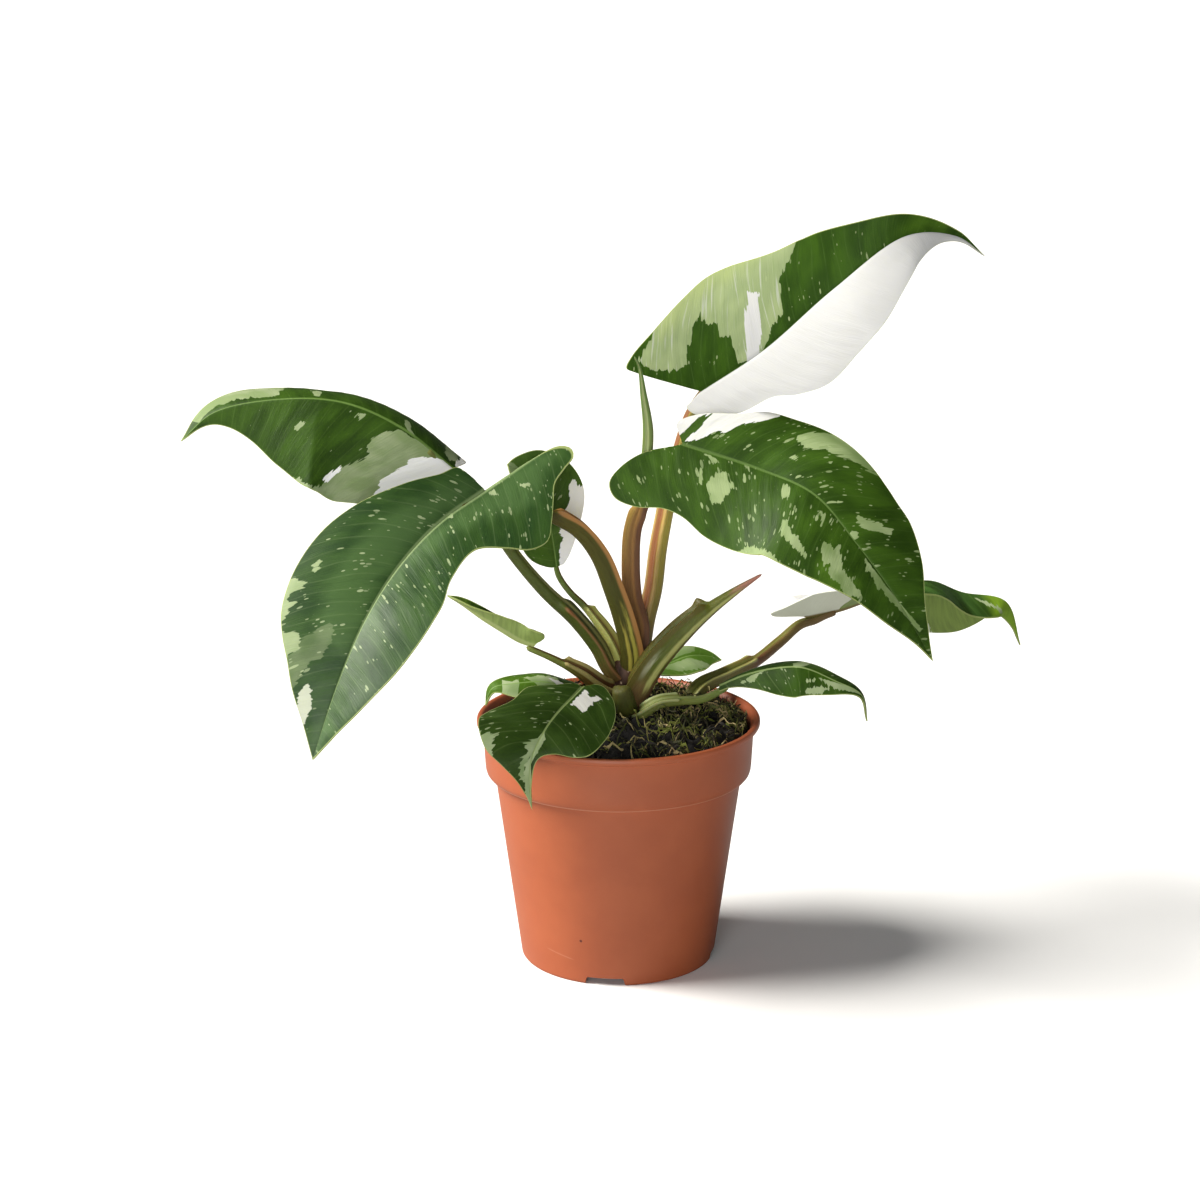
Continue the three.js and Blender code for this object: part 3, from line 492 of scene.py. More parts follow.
def make_blade(name, slot, materials, rib, face, left, right, rows, columns, patches):
    """A blade as a grid laid over both halves, with two materials and its two sides apart."""
    sheet = Sheet(rib, face, left, right)
    start_clean()
    bpy.ops.mesh.primitive_grid_add(x_subdivisions=2 * columns, y_subdivisions=rows, size=2)
    piece = bpy.context.object
    grid = corners(piece)
    share = (grid[:, 1] + 1) / 2
    half = np.where(grid[:, 0] >= 0, 1, -1)
    out = np.abs(grid[:, 0])
    along = np.zeros(len(grid))
    across = np.zeros(len(grid))
    start = sheet.total * np.maximum(0, (share - FAN_SHARE) / (1 - FAN_SHARE)) ** 1.1
    margin = np.zeros(len(grid))
    for side in (1, -1):
        mine = half == side
        end = row_ends(sheet, side, share[mine])
        width = np.maximum(end[:, 1], 0)
        along[mine] = start[mine] + (end[:, 0] - start[mine]) * out[mine]
        across[mine] = width * out[mine]
        margin[mine] = width * (1 - out[mine])
    slanted = along - VEIN_SLANT * across - VEIN_BEND * across**2
    slanted += 0.5 * np.sin(along / 7.0) + 0.4 * np.sin(along / 3.1 + half)
    halves = [sheet.place(side, along, across) for side in (1, -1)]
    co = np.where((half > 0)[:, None], *halves)
    _, _, normal = sheet.frame(along)

    # Low waves of the margin, side veins and the groove over the midrib
    phase = sum(map(ord, name)) % 7
    to_tip = sheet.total - along
    fade = ease(0, 6, margin) * ease(0, 5, across) * ease(0, 8, to_tip)
    ridge = np.cos(slanted * 2 * math.pi / RIDGE_SPACING + half)
    wave = MARGIN_WAVE * np.sin(along / 9.0 + phase + half) * ease(0.45, 1, out)
    wave *= ease(0, 12, to_tip)
    groove = -GROOVE_DEPTH * np.exp(-((across / GROOVE_HALF) ** 2))
    groove *= (1 - along / sheet.total).clip(0, 1) ** 0.5
    co = co + normal * (VEIN_RELIEF * fade * ridge + wave + groove)[:, None]
    place_corners(piece, co * MM)

    signed = half * across
    vein = np.stack([slanted, signed + HALVES_APART * (half < 0)], 1)
    save_uv(piece, "vein", vein / PATTERN_LENGTH)
    save_value(piece, "rib", across)
    save_value(piece, "margin", margin)
    flat = np.stack([along, signed], 1)
    for kind in ("white", "pale", "sage", "light", "dark"):
        value = np.full(len(flat), FAR_FROM_PATCH)
        for polygon in patches.get(kind, []):
            value = np.maximum(value, inside_distance(flat, polygon))
        save_value(piece, kind, value)
    save_value(piece, "tip", along / sheet.total)

    # The upper side has to look where the sheet does
    piece.data.update()
    facing = np.zeros(len(piece.data.polygons) * 3)
    piece.data.polygons.foreach_get("normal", facing)
    lead = np.zeros(len(piece.data.polygons), np.int32)
    piece.data.polygons.foreach_get("loop_start", lead)
    first_corner = np.zeros(len(piece.data.loops), np.int32)
    piece.data.loops.foreach_get("vertex_index", first_corner)
    if np.sum(facing.reshape(-1, 3) * normal[first_corner[lead]]) < 0:
        open_mesh(piece)
        bpy.ops.mesh.flip_normals()
        close_mesh()

    # The midrib stands out below as a keel once the sheet has its thickness
    keel = RIB_DEPTH * np.maximum(0, 1 - along / sheet.total) ** 0.8
    keel *= np.exp(-((across / KEEL_HALF) ** 2))
    keel *= ease(-3, 0, along)
    save_value(piece, "keel", keel)
    for axis, label in enumerate(("nx", "ny", "nz")):
        save_value(piece, label, normal[:, axis])
    merge_doubles(piece)
    for material in materials:
        piece.data.materials.append(material)
    count = len(piece.data.vertices)
    apply_modifier(piece, "SOLIDIFY", thickness=BLADE_THICKNESS * MM, offset=0, material_offset=1)
    co = corners(piece)

    def read(label):
        values = np.zeros(len(co), np.float32)
        piece.data.attributes[label].data.foreach_get("value", values)
        return values

    under = np.arange(len(co)) >= count
    depth = read("keel") * under
    co = co - np.stack([read("nx"), read("ny"), read("nz")], 1) * (depth * MM)[:, None]
    place_corners(piece, co)
    for label in ("keel", "nx", "ny", "nz"):
        piece.data.attributes.remove(piece.data.attributes[label])
    smooth(piece, 50)
    hand_over(piece, name, materials, name + "_blade")
    return sheet


def make_leaf_group():
    """Colours over the upper side of a leaf, by place on it."""
    board, given, out = new_group(
        "leaf_colours",
        [
            ("Green", "Color", (0.036, 0.084, 0.006)),
            ("Deep", "Color", (0.018, 0.046, 0.003)),
            ("Light", "Color", (0.065, 0.14, 0.010)),
            ("Sage", "Color", (0.20, 0.28, 0.115)),
            ("Pale", "Color", (0.34, 0.41, 0.22)),
            ("White", "Color", (0.66, 0.66, 0.63)),
            ("Rib", "Color", (0.19, 0.30, 0.08)),
            ("Rim", "Color", (0.34, 0.40, 0.14)),
            ("Spots", "Float", 0.5),
            ("Rib Width", "Float", 0.8),
            ("Rim Width", "Float", 0.35),
            ("Rays", "Float", 0.0),
            ("Sage Share", "Float", 1.0),
        ],
        [("Color", "Color"), ("Height", "Float"), ("Pale Share", "Float")],
    )
    vein = board.uv("vein")
    streaks = board.noise(board.scaled(vein, (60, 9, 1)), 1.0, 3.0)
    broad = board.noise(board.scaled(vein, (11, 6, 1)), 1.0, 2.0)
    fine = board.noise(board.scaled(vein, (190, 12, 1)), 1.0, 2.0, 0.6)
    cloud = board.noise(board.scaled(vein, (9, 11, 1), (3, 5, 0)), 1.0, 1.0)
    jag = board.stretch(streaks, 5.2, board.stretch(broad, 2.6, -3.9))
    jag = board.times(jag, board.step(board.attribute("rib"), 0.0, 4.0))

    # Green, lighter and darker along the side veins
    colour = board.mix(board.step(broad, 0.3, 0.7), given["Deep"], given["Green"])
    soft = board.plus(board.attribute("light"), board.stretch(broad, 10.0, -5.0))
    colour = board.tint(colour, board.step(soft, -4.0, 5.0), 0.85, given["Light"])
    colour = board.tint(colour, board.step(fine, 0.52, 0.72), 0.12, given["Light"])
    colour = board.tint(colour, board.step(streaks, 0.55, 0.7), 0.15, given["Deep"])

    # Patches whose edges follow the veins
    def patch(label):
        return board.step(board.plus(board.attribute(label), jag), -0.12, 0.12)

    sage = patch("sage")
    tone = board.mix(board.step(cloud, 0.35, 0.65), given["Sage"], given["Pale"])
    tone = board.tint(tone, board.step(fine, 0.45, 0.7), 0.35, given["Sage"])
    colour = board.tint(colour, sage, given["Sage Share"], tone)
    pale = patch("pale")
    tone = board.mix(board.times(board.step(cloud, 0.3, 0.6), 0.5), given["Pale"], given["Sage"])
    rays = board.noise(board.scaled(vein, (75, 5, 1), (7, 0, 0)), 1.0, 2.0)
    tone = board.tint(tone, board.step(rays, 0.58, 0.68), given["Rays"], given["White"])
    tone = board.tint(tone, board.step(soft, -3.0, 5.0), given["Rays"], (0.40, 0.46, 0.17))
    colour = board.mix(pale, colour, tone)
    white = patch("white")
    colour = board.mix(white, colour, given["White"])
    colour = board.mix(patch("dark"), colour, given["Green"])

    # Dashes and specks strewn along the side veins, thicker in some places
    often = board.times(given["Spots"], board.step(cloud, 0.2, 0.7))
    near, code = board.cells(board.scaled(vein, (38, 12, 1)), 1.0)
    limit = board.less(board.part(code), board.rest(board.times(often, 0.6)))
    dash = board.step(board.less(board.times(limit, 0.6), near), 0.0, 0.05)
    near, code = board.cells(board.scaled(vein, (78, 40, 1), (11, 3, 0)), 1.0)
    limit = board.less(board.part(code), board.rest(board.times(often, 0.5)))
    speck = board.step(board.less(board.times(limit, 1.1), near), 0.0, 0.08)
    spots = board.times(board.larger(dash, speck), board.rest(white))
    strength = board.stretch(board.part(code, 1), 0.5, 0.45)
    colour = board.tint(colour, spots, strength, given["Pale"])

    # Side veins, midrib and rim
    along = board.times(board.split(vein)[0], PATTERN_LENGTH / VEIN_SPACING)
    line = board.math("PINGPONG", along, 0.5)
    line = board.times(board.step(line, 0.42, 0.49), board.step(fine, 0.3, 0.6))
    line = board.times(line, board.less(0.14, board.times(white, 0.13)))
    colour = board.mix(line, colour, given["Rib"])
    width = board.times(given["Rib Width"], board.less(1.1, board.attribute("tip")))
    rib = board.rest(board.step(board.attribute("rib"), board.times(width, 0.4), width))
    clear = board.rest(board.times(white, 0.75))
    colour = board.tint(colour, board.times(rib, 0.85), clear, given["Rib"])
    width = given["Rim Width"]
    rim = board.rest(board.step(board.attribute("margin"), board.times(width, 0.5), width))
    colour = board.tint(colour, board.times(rim, 0.8), clear, given["Rim"])
    board.feed(out["Color"], colour)
    board.feed(out["Height"], board.plus(fine, board.times(streaks, 0.8)))
    board.feed(out["Pale Share"], board.larger(board.larger(pale, sage), white))
    return board.tree


leaf_group = make_leaf_group()


def leaf_top(name, gloss=0.45, coat=0.0, shine=0.12, **values):
    """The waxy upper side, with its own values of the leaf colours."""
    material, board, shader = new_material(name)
    made = use_group(board, leaf_group, **values)
    board.feed(shader.inputs["Base Color"], made["Color"])
    rough = board.stretch(made["Pale Share"], 0.14, gloss)
    board.feed(shader.inputs["Roughness"], rough)
    shader.inputs["Specular IOR Level"].default_value = shine
    shader.inputs["Coat Weight"].default_value = coat
    shader.inputs["Coat Roughness"].default_value = 0.3
    shader.inputs["Subsurface Weight"].default_value = 0.25
    shader.inputs["Subsurface Radius"].default_value = (1.0, 1.0, 0.6)
    shader.inputs["Subsurface Scale"].default_value = 0.0012
    bump(board, shader, made["Height"], 0.00018, 0.6)
    return material


def leaf_under(name, body, rib):
    """The duller underside, whose patches show through a little."""
    material, board, shader = new_material(name)
    vein = board.uv("vein")
    streaks = board.noise(board.scaled(vein, (60, 9, 1)), 1.0, 3.0)
    fine = board.noise(board.scaled(vein, (190, 12, 1)), 1.0, 2.0, 0.6)
    colour = board.mix(board.step(streaks, 0.35, 0.7), body, tuple(0.75 * c for c in body))
    jag = board.stretch(streaks, 6.0, -3.0)
    mask = board.step(board.plus(board.attribute("white"), jag), -0.12, 0.12)
    colour = board.tint(colour, mask, 0.85, (0.7, 0.72, 0.6))
    mask = board.step(board.plus(board.attribute("pale"), jag), -0.12, 0.12)
    colour = board.tint(colour, mask, 0.6, (0.42, 0.5, 0.26))
    line = board.rest(board.step(board.attribute("rib"), 0.7, 1.3))
    colour = board.mix(line, colour, rib)
    board.feed(shader.inputs["Base Color"], colour)
    shader.inputs["Roughness"].default_value = 0.5
    bump(board, shader, board.plus(fine, streaks), 0.00018, 0.6)
    return material


under_green = leaf_under("underside_green", (0.15, 0.23, 0.07), (0.26, 0.32, 0.10))
under_pale = leaf_under("underside_yellow_green", (0.27, 0.36, 0.09), (0.36, 0.42, 0.14))
under_olive = leaf_under("underside_olive", (0.18, 0.26, 0.045), (0.16, 0.12, 0.03))

# Sizes as in the part's source. Patches are outlines of (along, across) on the spread blade.
LEAVES = [
    dict(
        name="leaf_upper_right", slot="pale_leaf", rows=150, columns=44,
        look=dict(
            Spots=0.8, Rays=0.4, shine=0.06, Rib_Width=0.35, Rib=(0.1, 0.18, 0.04),
            White=(0.52, 0.52, 0.51), Pale=(0.28, 0.34, 0.165), Sage=(0.2, 0.26, 0.12),
            Green=(0.032, 0.078, 0.005), Deep=(0.018, 0.048, 0.003),
        ),
        under=under_green,
        rib=[
            (34, 4, 244), (59, -6, 263), (86, -14, 289), (114, -14, 310), (135, -6, 309),
            (148, 2, 300),
        ],
        face=[(-0.35, -0.94, -0.04), (-0.34, -0.91, 0.26), (0.56, -0.83, 0.07)],
        left=dict(
            edge=[
                (-5, 5), (-16, 19), (-22, 25), (-17, 28), (-1, 32), (14, 36), (28, 38), (42, 36),
                (63, 27), (80, 22), (98, 13), (116, 6), (132, 2),
            ],
            lift=8, curl=15,
        ),
        right=dict(
            edge=[
                (-5, 1), (-9, 2), (-7, 7), (0, 11), (10, 16), (26, 18), (34, 23), (46, 28),
                (62, 27), (76, 25), (92, 19), (108, 12), (123, 4), (136, 1),
            ],
            lift=12, curl=20,
        ),
        patches=dict(
            white=[
                [(-20, 0), (150, 0), (150, 40), (-20, 40)],
                [
                    (40, -20), (43, -22), (47, -19), (42, -14), (34, -4), (29, 1), (23, 1),
                    (28, -6), (34, -14),
                ],
            ],
            pale=[
                [
                    (71, -25), (65, -21), (61, -20), (56, -17), (56, -15), (50, -8), (49, -6),
                    (43, -6), (38, -3), (34, -1), (32, 0), (20, -1), (22, -6), (24, -12), (22, -14),
                    (20, -14), (22, -20), (17, -22), (18, -28), (15, -25), (12, -24), (8, -19),
                    (6, -19), (3, -15), (2, -12), (-2, -13), (-7, -15), (-12, -18), (-16, -25),
                    (-6, -29), (4, -34), (15, -39), (26, -43), (42, -42), (57, -36), (70, -30),
                ],
            ],
            light=[
                [(108, -2), (112, -7), (124, -7), (126, -1), (118, -1)],
                [
                    (-2, -26), (8, -28), (20, -32), (40, -31), (60, -28), (56, -40), (20, -44),
                    (0, -34),
                ],
            ],
            sage=[
                [
                    (96, 0), (102, 2), (108, 2), (115, 1), (127, 1), (123, 4), (114, 4), (106, 5),
                    (100, 3),
                ],
            ],
        ),
    ),
    dict(
        name="leaf_right", slot="green_leaf", rows=150, columns=44,
        look=dict(
            Spots=1.15, Rib_Width=1.0, Rib=(0.1, 0.17, 0.04), Pale=(0.27, 0.34, 0.16),
            Sage=(0.16, 0.23, 0.08),
        ),
        under=under_green,
        rib=[
            (26, -12, 225), (56, -22, 217), (78, -34, 209), (94, -45, 192), (110, -52, 171),
            (125, -56, 146),
        ],
        face=[(-0.15, -0.86, 0.5), (0.13, -0.78, 0.61), (0.33, -0.88, 0.33)],
        left=dict(
            edge=[
                (-4, 3), (-5, 8), (2, 14), (17, 20), (27, 26), (38, 28), (49, 29), (65, 28),
                (79, 27), (91, 26), (106, 19), (119, 10), (132, 4),
            ],
            lift=8, curl=30,
        ),
        right=dict(
            edge=[
                (-4, 3), (-14, 9), (-21, 18), (-23, 25), (-19, 30), (-10, 31), (2, 28), (10, 29),
                (22, 34), (38, 36), (53, 35), (72, 32), (89, 23), (103, 16), (118, 10), (132, 3),
            ],
            lift=8, curl=30,
        ),
        patches=dict(
            white=[
                [
                    (-6, 2), (2, -2), (6, -4), (10, -8), (16, -11), (20, -16), (23, -18), (26, -21),
                    (30, -26), (26, -34), (4, -34), (-12, -24), (-14, -4),
                ],
            ],
            dark=[[(-4, 1), (-2, -4), (0, -9), (2, -13), (7, -16), (5, -10), (2, -5), (0, 0)]],
            pale=[
                [
                    (16, 12), (17, 8), (20, 6), (22, 6), (24, 9), (26, 10), (27, 12), (26, 14),
                    (24, 16), (24, 20), (21, 21), (19, 19), (18, 16), (16, 16), (15, 14),
                ],
                [(10, 8), (11, 7), (12, 10), (14, 14), (12, 14)],
                [(9, 1), (12, 1), (17, 3), (13, 3)],
                [(48, -23), (52, -24), (58, -26), (54, -22)],
                [
                    (76, -8), (78, -8), (84, -13), (90, -16), (92, -14), (87, -10), (83, -7),
                    (78, -6),
                ],
                [
                    (56, 17), (59, 17), (67, 19), (74, 19), (79, 20), (80, 22), (76, 22), (68, 23),
                    (60, 22),
                ],
                [(41, 36), (46, 32), (54, 32), (68, 31), (76, 30), (76, 38), (41, 40)],
                [(66, 4), (68, 3), (70, 5), (72, 8), (70, 6)],
                [(80, -2), (82, -3), (84, -2), (84, 0), (81, 0)],
                [(46, 2), (48, 2), (51, 7), (51, 9), (47, 6)],
                [(42, -9), (44, -11), (46, -12), (45, -9)],
                [(48, -20), (50, -22), (53, -22), (50, -19)],
            ],
            sage=[
                [
                    (78, 12), (79, 10), (82, 10), (82, 7), (85, 8), (90, 11), (94, 12), (104, 12),
                    (101, 17), (90, 18), (88, 18), (87, 15), (84, 16),
                ],
                [
                    (39, -20), (44, -24), (50, -29), (62, -33), (72, -32), (64, -25), (59, -23),
                    (55, -20), (52, -20), (48, -17), (44, -16), (42, -18),
                ],
                [
                    (92, 1), (106, 1), (120, -1), (129, -3), (129, -1), (120, 1), (112, 3),
                    (104, 4), (96, 4),
                ],
            ],
            light=[[(84, 14), (100, 10), (96, 20), (84, 20)]],
        ),
    ),
    dict(
        name="leaf_left", slot="green_leaf", rows=140, columns=42,
        look=dict(
            Spots=0.5, Rib_Width=0.9, Rib=(0.13, 0.22, 0.05), White=(0.84, 0.84, 0.82),
            Pale=(0.29, 0.35, 0.19), Sage=(0.21, 0.28, 0.12),
        ),
        under=under_green,
        rib=[
            (-68, -4, 213), (-89, -3, 230), (-113, 0, 240), (-139, 2, 241), (-167, 4, 235),
            (-181, 4, 223),
        ],
        face=[(0.48, -0.62, 0.62), (0.03, -0.32, 0.95), (-0.52, -0.6, 0.6)],
        left=dict(
            edge=[
                (-2, 9), (2, 20), (10, 29), (20, 34), (28, 37), (40, 40), (53, 39), (68, 37),
                (82, 28), (94, 16), (104, 8), (116, 2),
            ],
            lift=-35, curl=15,
        ),
        right=dict(
            edge=[
                (0, 6), (-3, 12), (-1, 18), (8, 23), (26, 28), (50, 28), (74, 24), (94, 17),
                (110, 8), (120, 3),
            ],
            lift=[-12, 0, 0], curl=65,
        ),
        patches=dict(
            white=[
                [
                    (6, 0), (8, -1), (12, -4), (16, -8), (16, -12), (20, -18), (22, -23), (20, -26),
                    (20, -30), (18, -34), (14, -42), (-6, -42), (-10, -10), (-4, 0),
                ],
                [(54, -33), (49, -29), (45, -27), (42, -25), (44, -29), (49, -34)],
                [(1, 2), (0, 12), (-2, 20), (-8, 20), (-8, 6), (-3, 1)],
            ],
            pale=[
                [(28, 3), (28, 8), (25, 8), (24, 2), (20, 0), (24, 0)],
                [(7, 4), (8, 10), (8, 14), (6, 16), (2, 16), (0, 5), (4, 2)],
                [(68, 8), (64, 8), (64, 1), (66, 2)],
                [(75, -13), (71, -10), (68, -10), (69, -12), (72, -14)],
                [(47, -5), (46, -2), (42, -2), (44, -4)],
            ],
            sage=[
                [
                    (28, -1), (32, -5), (36, -10), (36, -14), (34, -16), (35, -18), (39, -23),
                    (44, -26), (50, -32), (53, -36), (62, -37), (72, -34), (78, -33), (70, -44),
                    (50, -46), (10, -46), (10, -20), (8, -8), (4, 0), (15, 0), (22, -1),
                ],
                [
                    (116, 0), (110, 2), (106, 3), (97, 3), (88, 2), (82, 2), (80, 9), (81, 28),
                    (100, 26), (120, 8),
                ],
            ],
        ),
    ),
    dict(
        name="leaf_front_left", slot="green_leaf", rows=150, columns=44,
        look=dict(
            # Light is the tone of this leaf's painted sheen, set by the two large light patches
            # below
            gloss=0.46, coat=0.05, shine=0.24, Spots=1.0, Rib_Width=1.7, Rib=(0.24, 0.33, 0.14),
            Sage_Share=0.35, Green=(0.033, 0.08, 0.013), Deep=(0.017, 0.05, 0.009),
            Light=(0.066, 0.13, 0.036), White=(0.5, 0.53, 0.41),
        ),
        under=under_green,
        rib=[
            (-54, -31, 210), (-72, -47, 200), (-87, -61, 186), (-99, -77, 169), (-109, -88, 147),
            (-119, -97, 118),
        ],
        face=[(0.2, -0.75, 0.63), (-0.1, -0.76, 0.64), (-0.33, -0.88, 0.34)],
        left=dict(
            edge=[
                (-13, 1), (-26, 1), (-39, 3), (-42, 7), (-40, 11), (-33, 13), (-24, 16), (-17, 22),
                (-9, 29), (-2, 34), (6, 33), (14, 27), (26, 20), (44, 22), (64, 27), (90, 24),
                (111, 15), (124, 7),
            ],
            lift=18, curl=20,
        ),
        right=dict(
            edge=[
                (1, 3), (2, 8), (4, 14), (13, 16), (27, 22), (44, 30), (56, 34), (70, 35), (86, 32),
                (94, 28), (103, 22), (113, 16), (124, 8),
            ],
            lift=20, curl=25,
        ),
        patches=dict(
            white=[
                [
                    (112, 13), (110, 13), (108, 11), (110, 9), (116, 7), (120, 7), (124, 8),
                    (130, 6), (126, 9), (120, 12),
                ],
            ],
            pale=[
                [(81, 36), (77, 36), (74, 33), (73, 27), (76, 28), (79, 31), (82, 32)],
                [(82, 34), (82, 27), (84, 28), (87, 29), (91, 30), (86, 34)],
                [(94, 32), (94, 26), (92, 22), (94, 20), (98, 19), (100, 22), (106, 24), (100, 28)],
                [(-12, -7), (-14, -8), (-16, -10), (-14, -10), (-12, -10)],
                [(0, -2), (-3, -2), (-2, -6), (0, -4)],
                [(20, 1), (18, 0), (20, -3), (22, -1)],
                [(23, -3), (24, -6), (26, -6), (25, -3)],
                [(64, 28), (66, 26), (70, 26), (68, 29)],
            ],
            # This sage patch is partly the leaf's own sage mottling and partly painted sheen, so
            # Sage Share is set low above
            sage=[
                [
                    (94, 20), (90, 16), (84, 12), (86, 9), (92, 8), (98, 10), (102, 14), (106, 14),
                    (113, 16), (110, 21), (104, 24), (100, 21),
                ],
            ],
            # The two large light patches are painted sheen: one lightens the half that lies darker
            # in the light, the other runs along both sides of the midrib
            light=[
                [(11, -7), (18, -6), (27, -5), (22, -9), (14, -10)],
                [
                    (-10, 0), (20, 1), (60, 1), (96, 1), (92, 14), (76, 20), (50, 20), (20, 12),
                    (4, 8), (0, 1),
                ],
                [(-30, 0), (60, 0), (78, 0), (76, -4), (40, -6), (10, -12), (-10, -18), (-34, -6)],
                [(114, -1), (122, -5), (132, -2), (130, 3), (120, 2)],
            ],
        ),
    ),
    dict(
        name="leaf_back_left", slot="pale_leaf", rows=80, columns=26,
        look=dict(
            Spots=0.9, Rib_Width=0.6, White=(0.93, 0.93, 0.89), Green=(0.075, 0.145, 0.022),
            Deep=(0.042, 0.094, 0.012),
        ),
        under=under_green,
        rib=[(-26, 6, 169), (-28, 3, 184), (-31, 0, 199), (-37, -2, 209), (-46, -4, 215)],
        face=[(0.26, -0.94, -0.22), (0.25, -0.97, -0.04), (0.28, -0.91, 0.3)],
        left=dict(
            edge=[(1, 4), (4, 9), (8, 12), (17, 14), (28, 12), (39, 7), (50, 4)], lift=8, curl=30,
        ),
        right=dict(
            edge=[
                (0, 2), (3, 5), (10, 9), (20, 14), (30, 18), (38, 17), (44, 13), (49, 8), (53, 3),
            ],
            lift=8, curl=30,
        ),
        patches=dict(
            white=[
                [
                    (32, 12), (26, 9), (23, 6), (17, 4), (12, 4), (8, 2), (-1, 1), (-6, 8), (4, 18),
                    (20, 24), (33, 24),
                ],
            ],
            sage=[[(58, -7), (42, -12), (42, -4), (48, 1), (58, 2)]],
            dark=[[(30, 17), (36, 14), (38, 22), (28, 24)]],
            light=[[(4, -2), (20, -4), (20, -12), (4, -8)]],
        ),
    ),
    dict(
        name="leaf_folded_left", slot="pale_leaf", rows=60, columns=16,
        look=dict(Spots=0.3, Light=(0.2, 0.3, 0.04)),
        under=under_pale,
        rib=[
            (-35, -14, 141), (-41, -14, 143), (-49, -15, 148), (-57, -15, 153), (-65, -13, 158),
            (-71, -11, 161),
        ],
        face=[(-0.3, 0.1, 0.95), (-0.5, 0.1, 0.9), (-0.3, 0.1, 1)],
        left=dict(
            edge=[(-1, 2), (-3, 5), (-2, 6.5), (2, 7), (10, 6.5), (18, 5.5), (28, 4), (38, 2)],
            lift=[55, 60, 60, 30], curl=10,
        ),
        right=dict(
            edge=[(-1, 2), (-3, 4), (-3, 6), (1, 7), (9, 7), (18, 6), (28, 4), (38, 2)],
            lift=[45, 55, 55, 25], curl=10,
        ),
        patches=dict(light=[[(0, 0), (46, 0), (46, -10), (0, -12)]]),
    ),
    dict(
        name="leaf_front_rim", slot="green_leaf", rows=100, columns=32,
        look=dict(
            Spots=0.9, Rib_Width=1.0, Rib=(0.26, 0.34, 0.12), White=(0.7, 0.69, 0.64),
            Green=(0.034, 0.07, 0.009), Deep=(0.018, 0.042, 0.004),
        ),
        under=under_green,
        rib=[
            (-15, -36, 129), (-19, -44, 127), (-24, -52, 124), (-30, -64, 119), (-35, -71, 110),
            (-36, -71, 99), (-35, -67, 87),
        ],
        face=[(0.1, -0.29, 0.95), (-0.06, -0.63, 0.77), (0.26, -0.92, -0.29)],
        left=dict(
            edge=[
                (-3, 3), (-4, 7), (0, 13), (6, 18), (13, 22), (26, 23), (35, 21), (39, 15), (41, 8),
                (45, 3), (56, 1),
            ],
            lift=8, curl=30,
        ),
        right=dict(
            edge=[
                (1, 4), (6, 10), (14, 19), (22, 20), (31, 26), (36, 28), (41, 26), (46, 20),
                (50, 11), (54, 6), (61, 2),
            ],
            lift=8, curl=30,
        ),
        patches=dict(
            white=[
                [
                    (14, -2), (10, -2), (6, -2), (2, -2), (3, -4), (6, -6), (4, -8), (4, -12),
                    (6, -10), (8, -8), (10, -9), (12, -10), (15, -8), (14, -6),
                ],
            ],
            pale=[
                [(46, 0), (48, 2), (54, 2), (60, 2), (68, 1), (68, -2), (60, -1), (53, -1)],
                [
                    (43, 30), (43, 24), (44, 22), (42, 20), (44, 19), (42, 16), (46, 16), (50, 16),
                    (50, 22), (48, 28),
                ],
                [(33, 0), (37, -2), (41, -2), (46, -1), (49, 0), (46, 1), (42, 0), (37, 1)],
            ],
            sage=[
                [
                    (42, 6), (39, 2), (36, 0), (42, 0), (46, 1), (50, 2), (56, 2), (53, 4), (48, 4),
                    (44, 2),
                ],
            ],
            light=[[(42, -14), (48, -14), (52, -6), (44, -5)]],
        ),
    ),
    dict(
        name="leaf_left_rim", slot="pale_leaf", rows=60, columns=20,
        look=dict(Spots=0.9, Green=(0.055, 0.11, 0.016)),
        under=under_green,
        rib=[(-19, -22, 123), (-30, -26, 128), (-43, -28, 128), (-52, -28, 126), (-55, -26, 118)],
        face=[(0.3, -0.5, 0.8), (0, -0.5, 0.87), (-0.7, -0.5, 0.5)],
        left=dict(
            edge=[(-3, 3), (-4, 6), (0, 9), (12, 10), (24, 7), (33, 3), (40, 1)], lift=-5, curl=30,
        ),
        right=dict(
            edge=[(-3, 3), (-4, 6), (0, 9), (12, 10), (24, 8), (33, 4), (40, 2)], lift=-5, curl=40,
        ),
        patches=dict(
            sage=[
                [(24, -12), (31, -12), (31, 3), (27, 1), (24, 3)],
                [(8, -3), (16, -2), (22, 3), (14, 4), (6, 6)],
            ],
            white=[[(2, -1), (8, 0), (12, 3), (6, 3), (0, 2)]],
            light=[[(10, -8), (40, -8), (40, 8), (10, 8)]],
        ),
    ),
    dict(
        name="leaf_right_rim", slot="pale_leaf", rows=90, columns=20,
        look=dict(Spots=0.8, Rib_Width=0.8, Rib=(0.3, 0.4, 0.15)),
        under=under_green,
        rib=[
            (42, -14, 123), (52, -16, 128), (65, -19, 132), (76, -22, 133), (89, -24, 128),
            (100, -24, 122), (103, -22, 110),
        ],
        face=[(-0.2, -0.6, 0.8), (0.1, -0.65, 0.75), (0.6, -0.75, 0.2)],
        left=dict(
            edge=[(-2, 1), (4, 2), (14, 5), (26, 9), (36, 11), (46, 9), (56, 5), (66, 2)], lift=-30,
            curl=30,
        ),
        right=dict(
            edge=[(-2, 2), (4, 3), (14, 7), (26, 12), (36, 13), (46, 9), (56, 4), (66, 1)], lift=-8,
            curl=20,
        ),
        patches=dict(
            pale=[
                [(32, -3), (36, -9), (40, -9), (37, -1), (33, 1)],
                [(38, 6), (41, 4), (44, 2), (43, 5)],
                [(40, 10), (44, 6), (50, 4), (46, 9)],
                [(8, 3), (16, 1), (22, 0), (14, 4)],
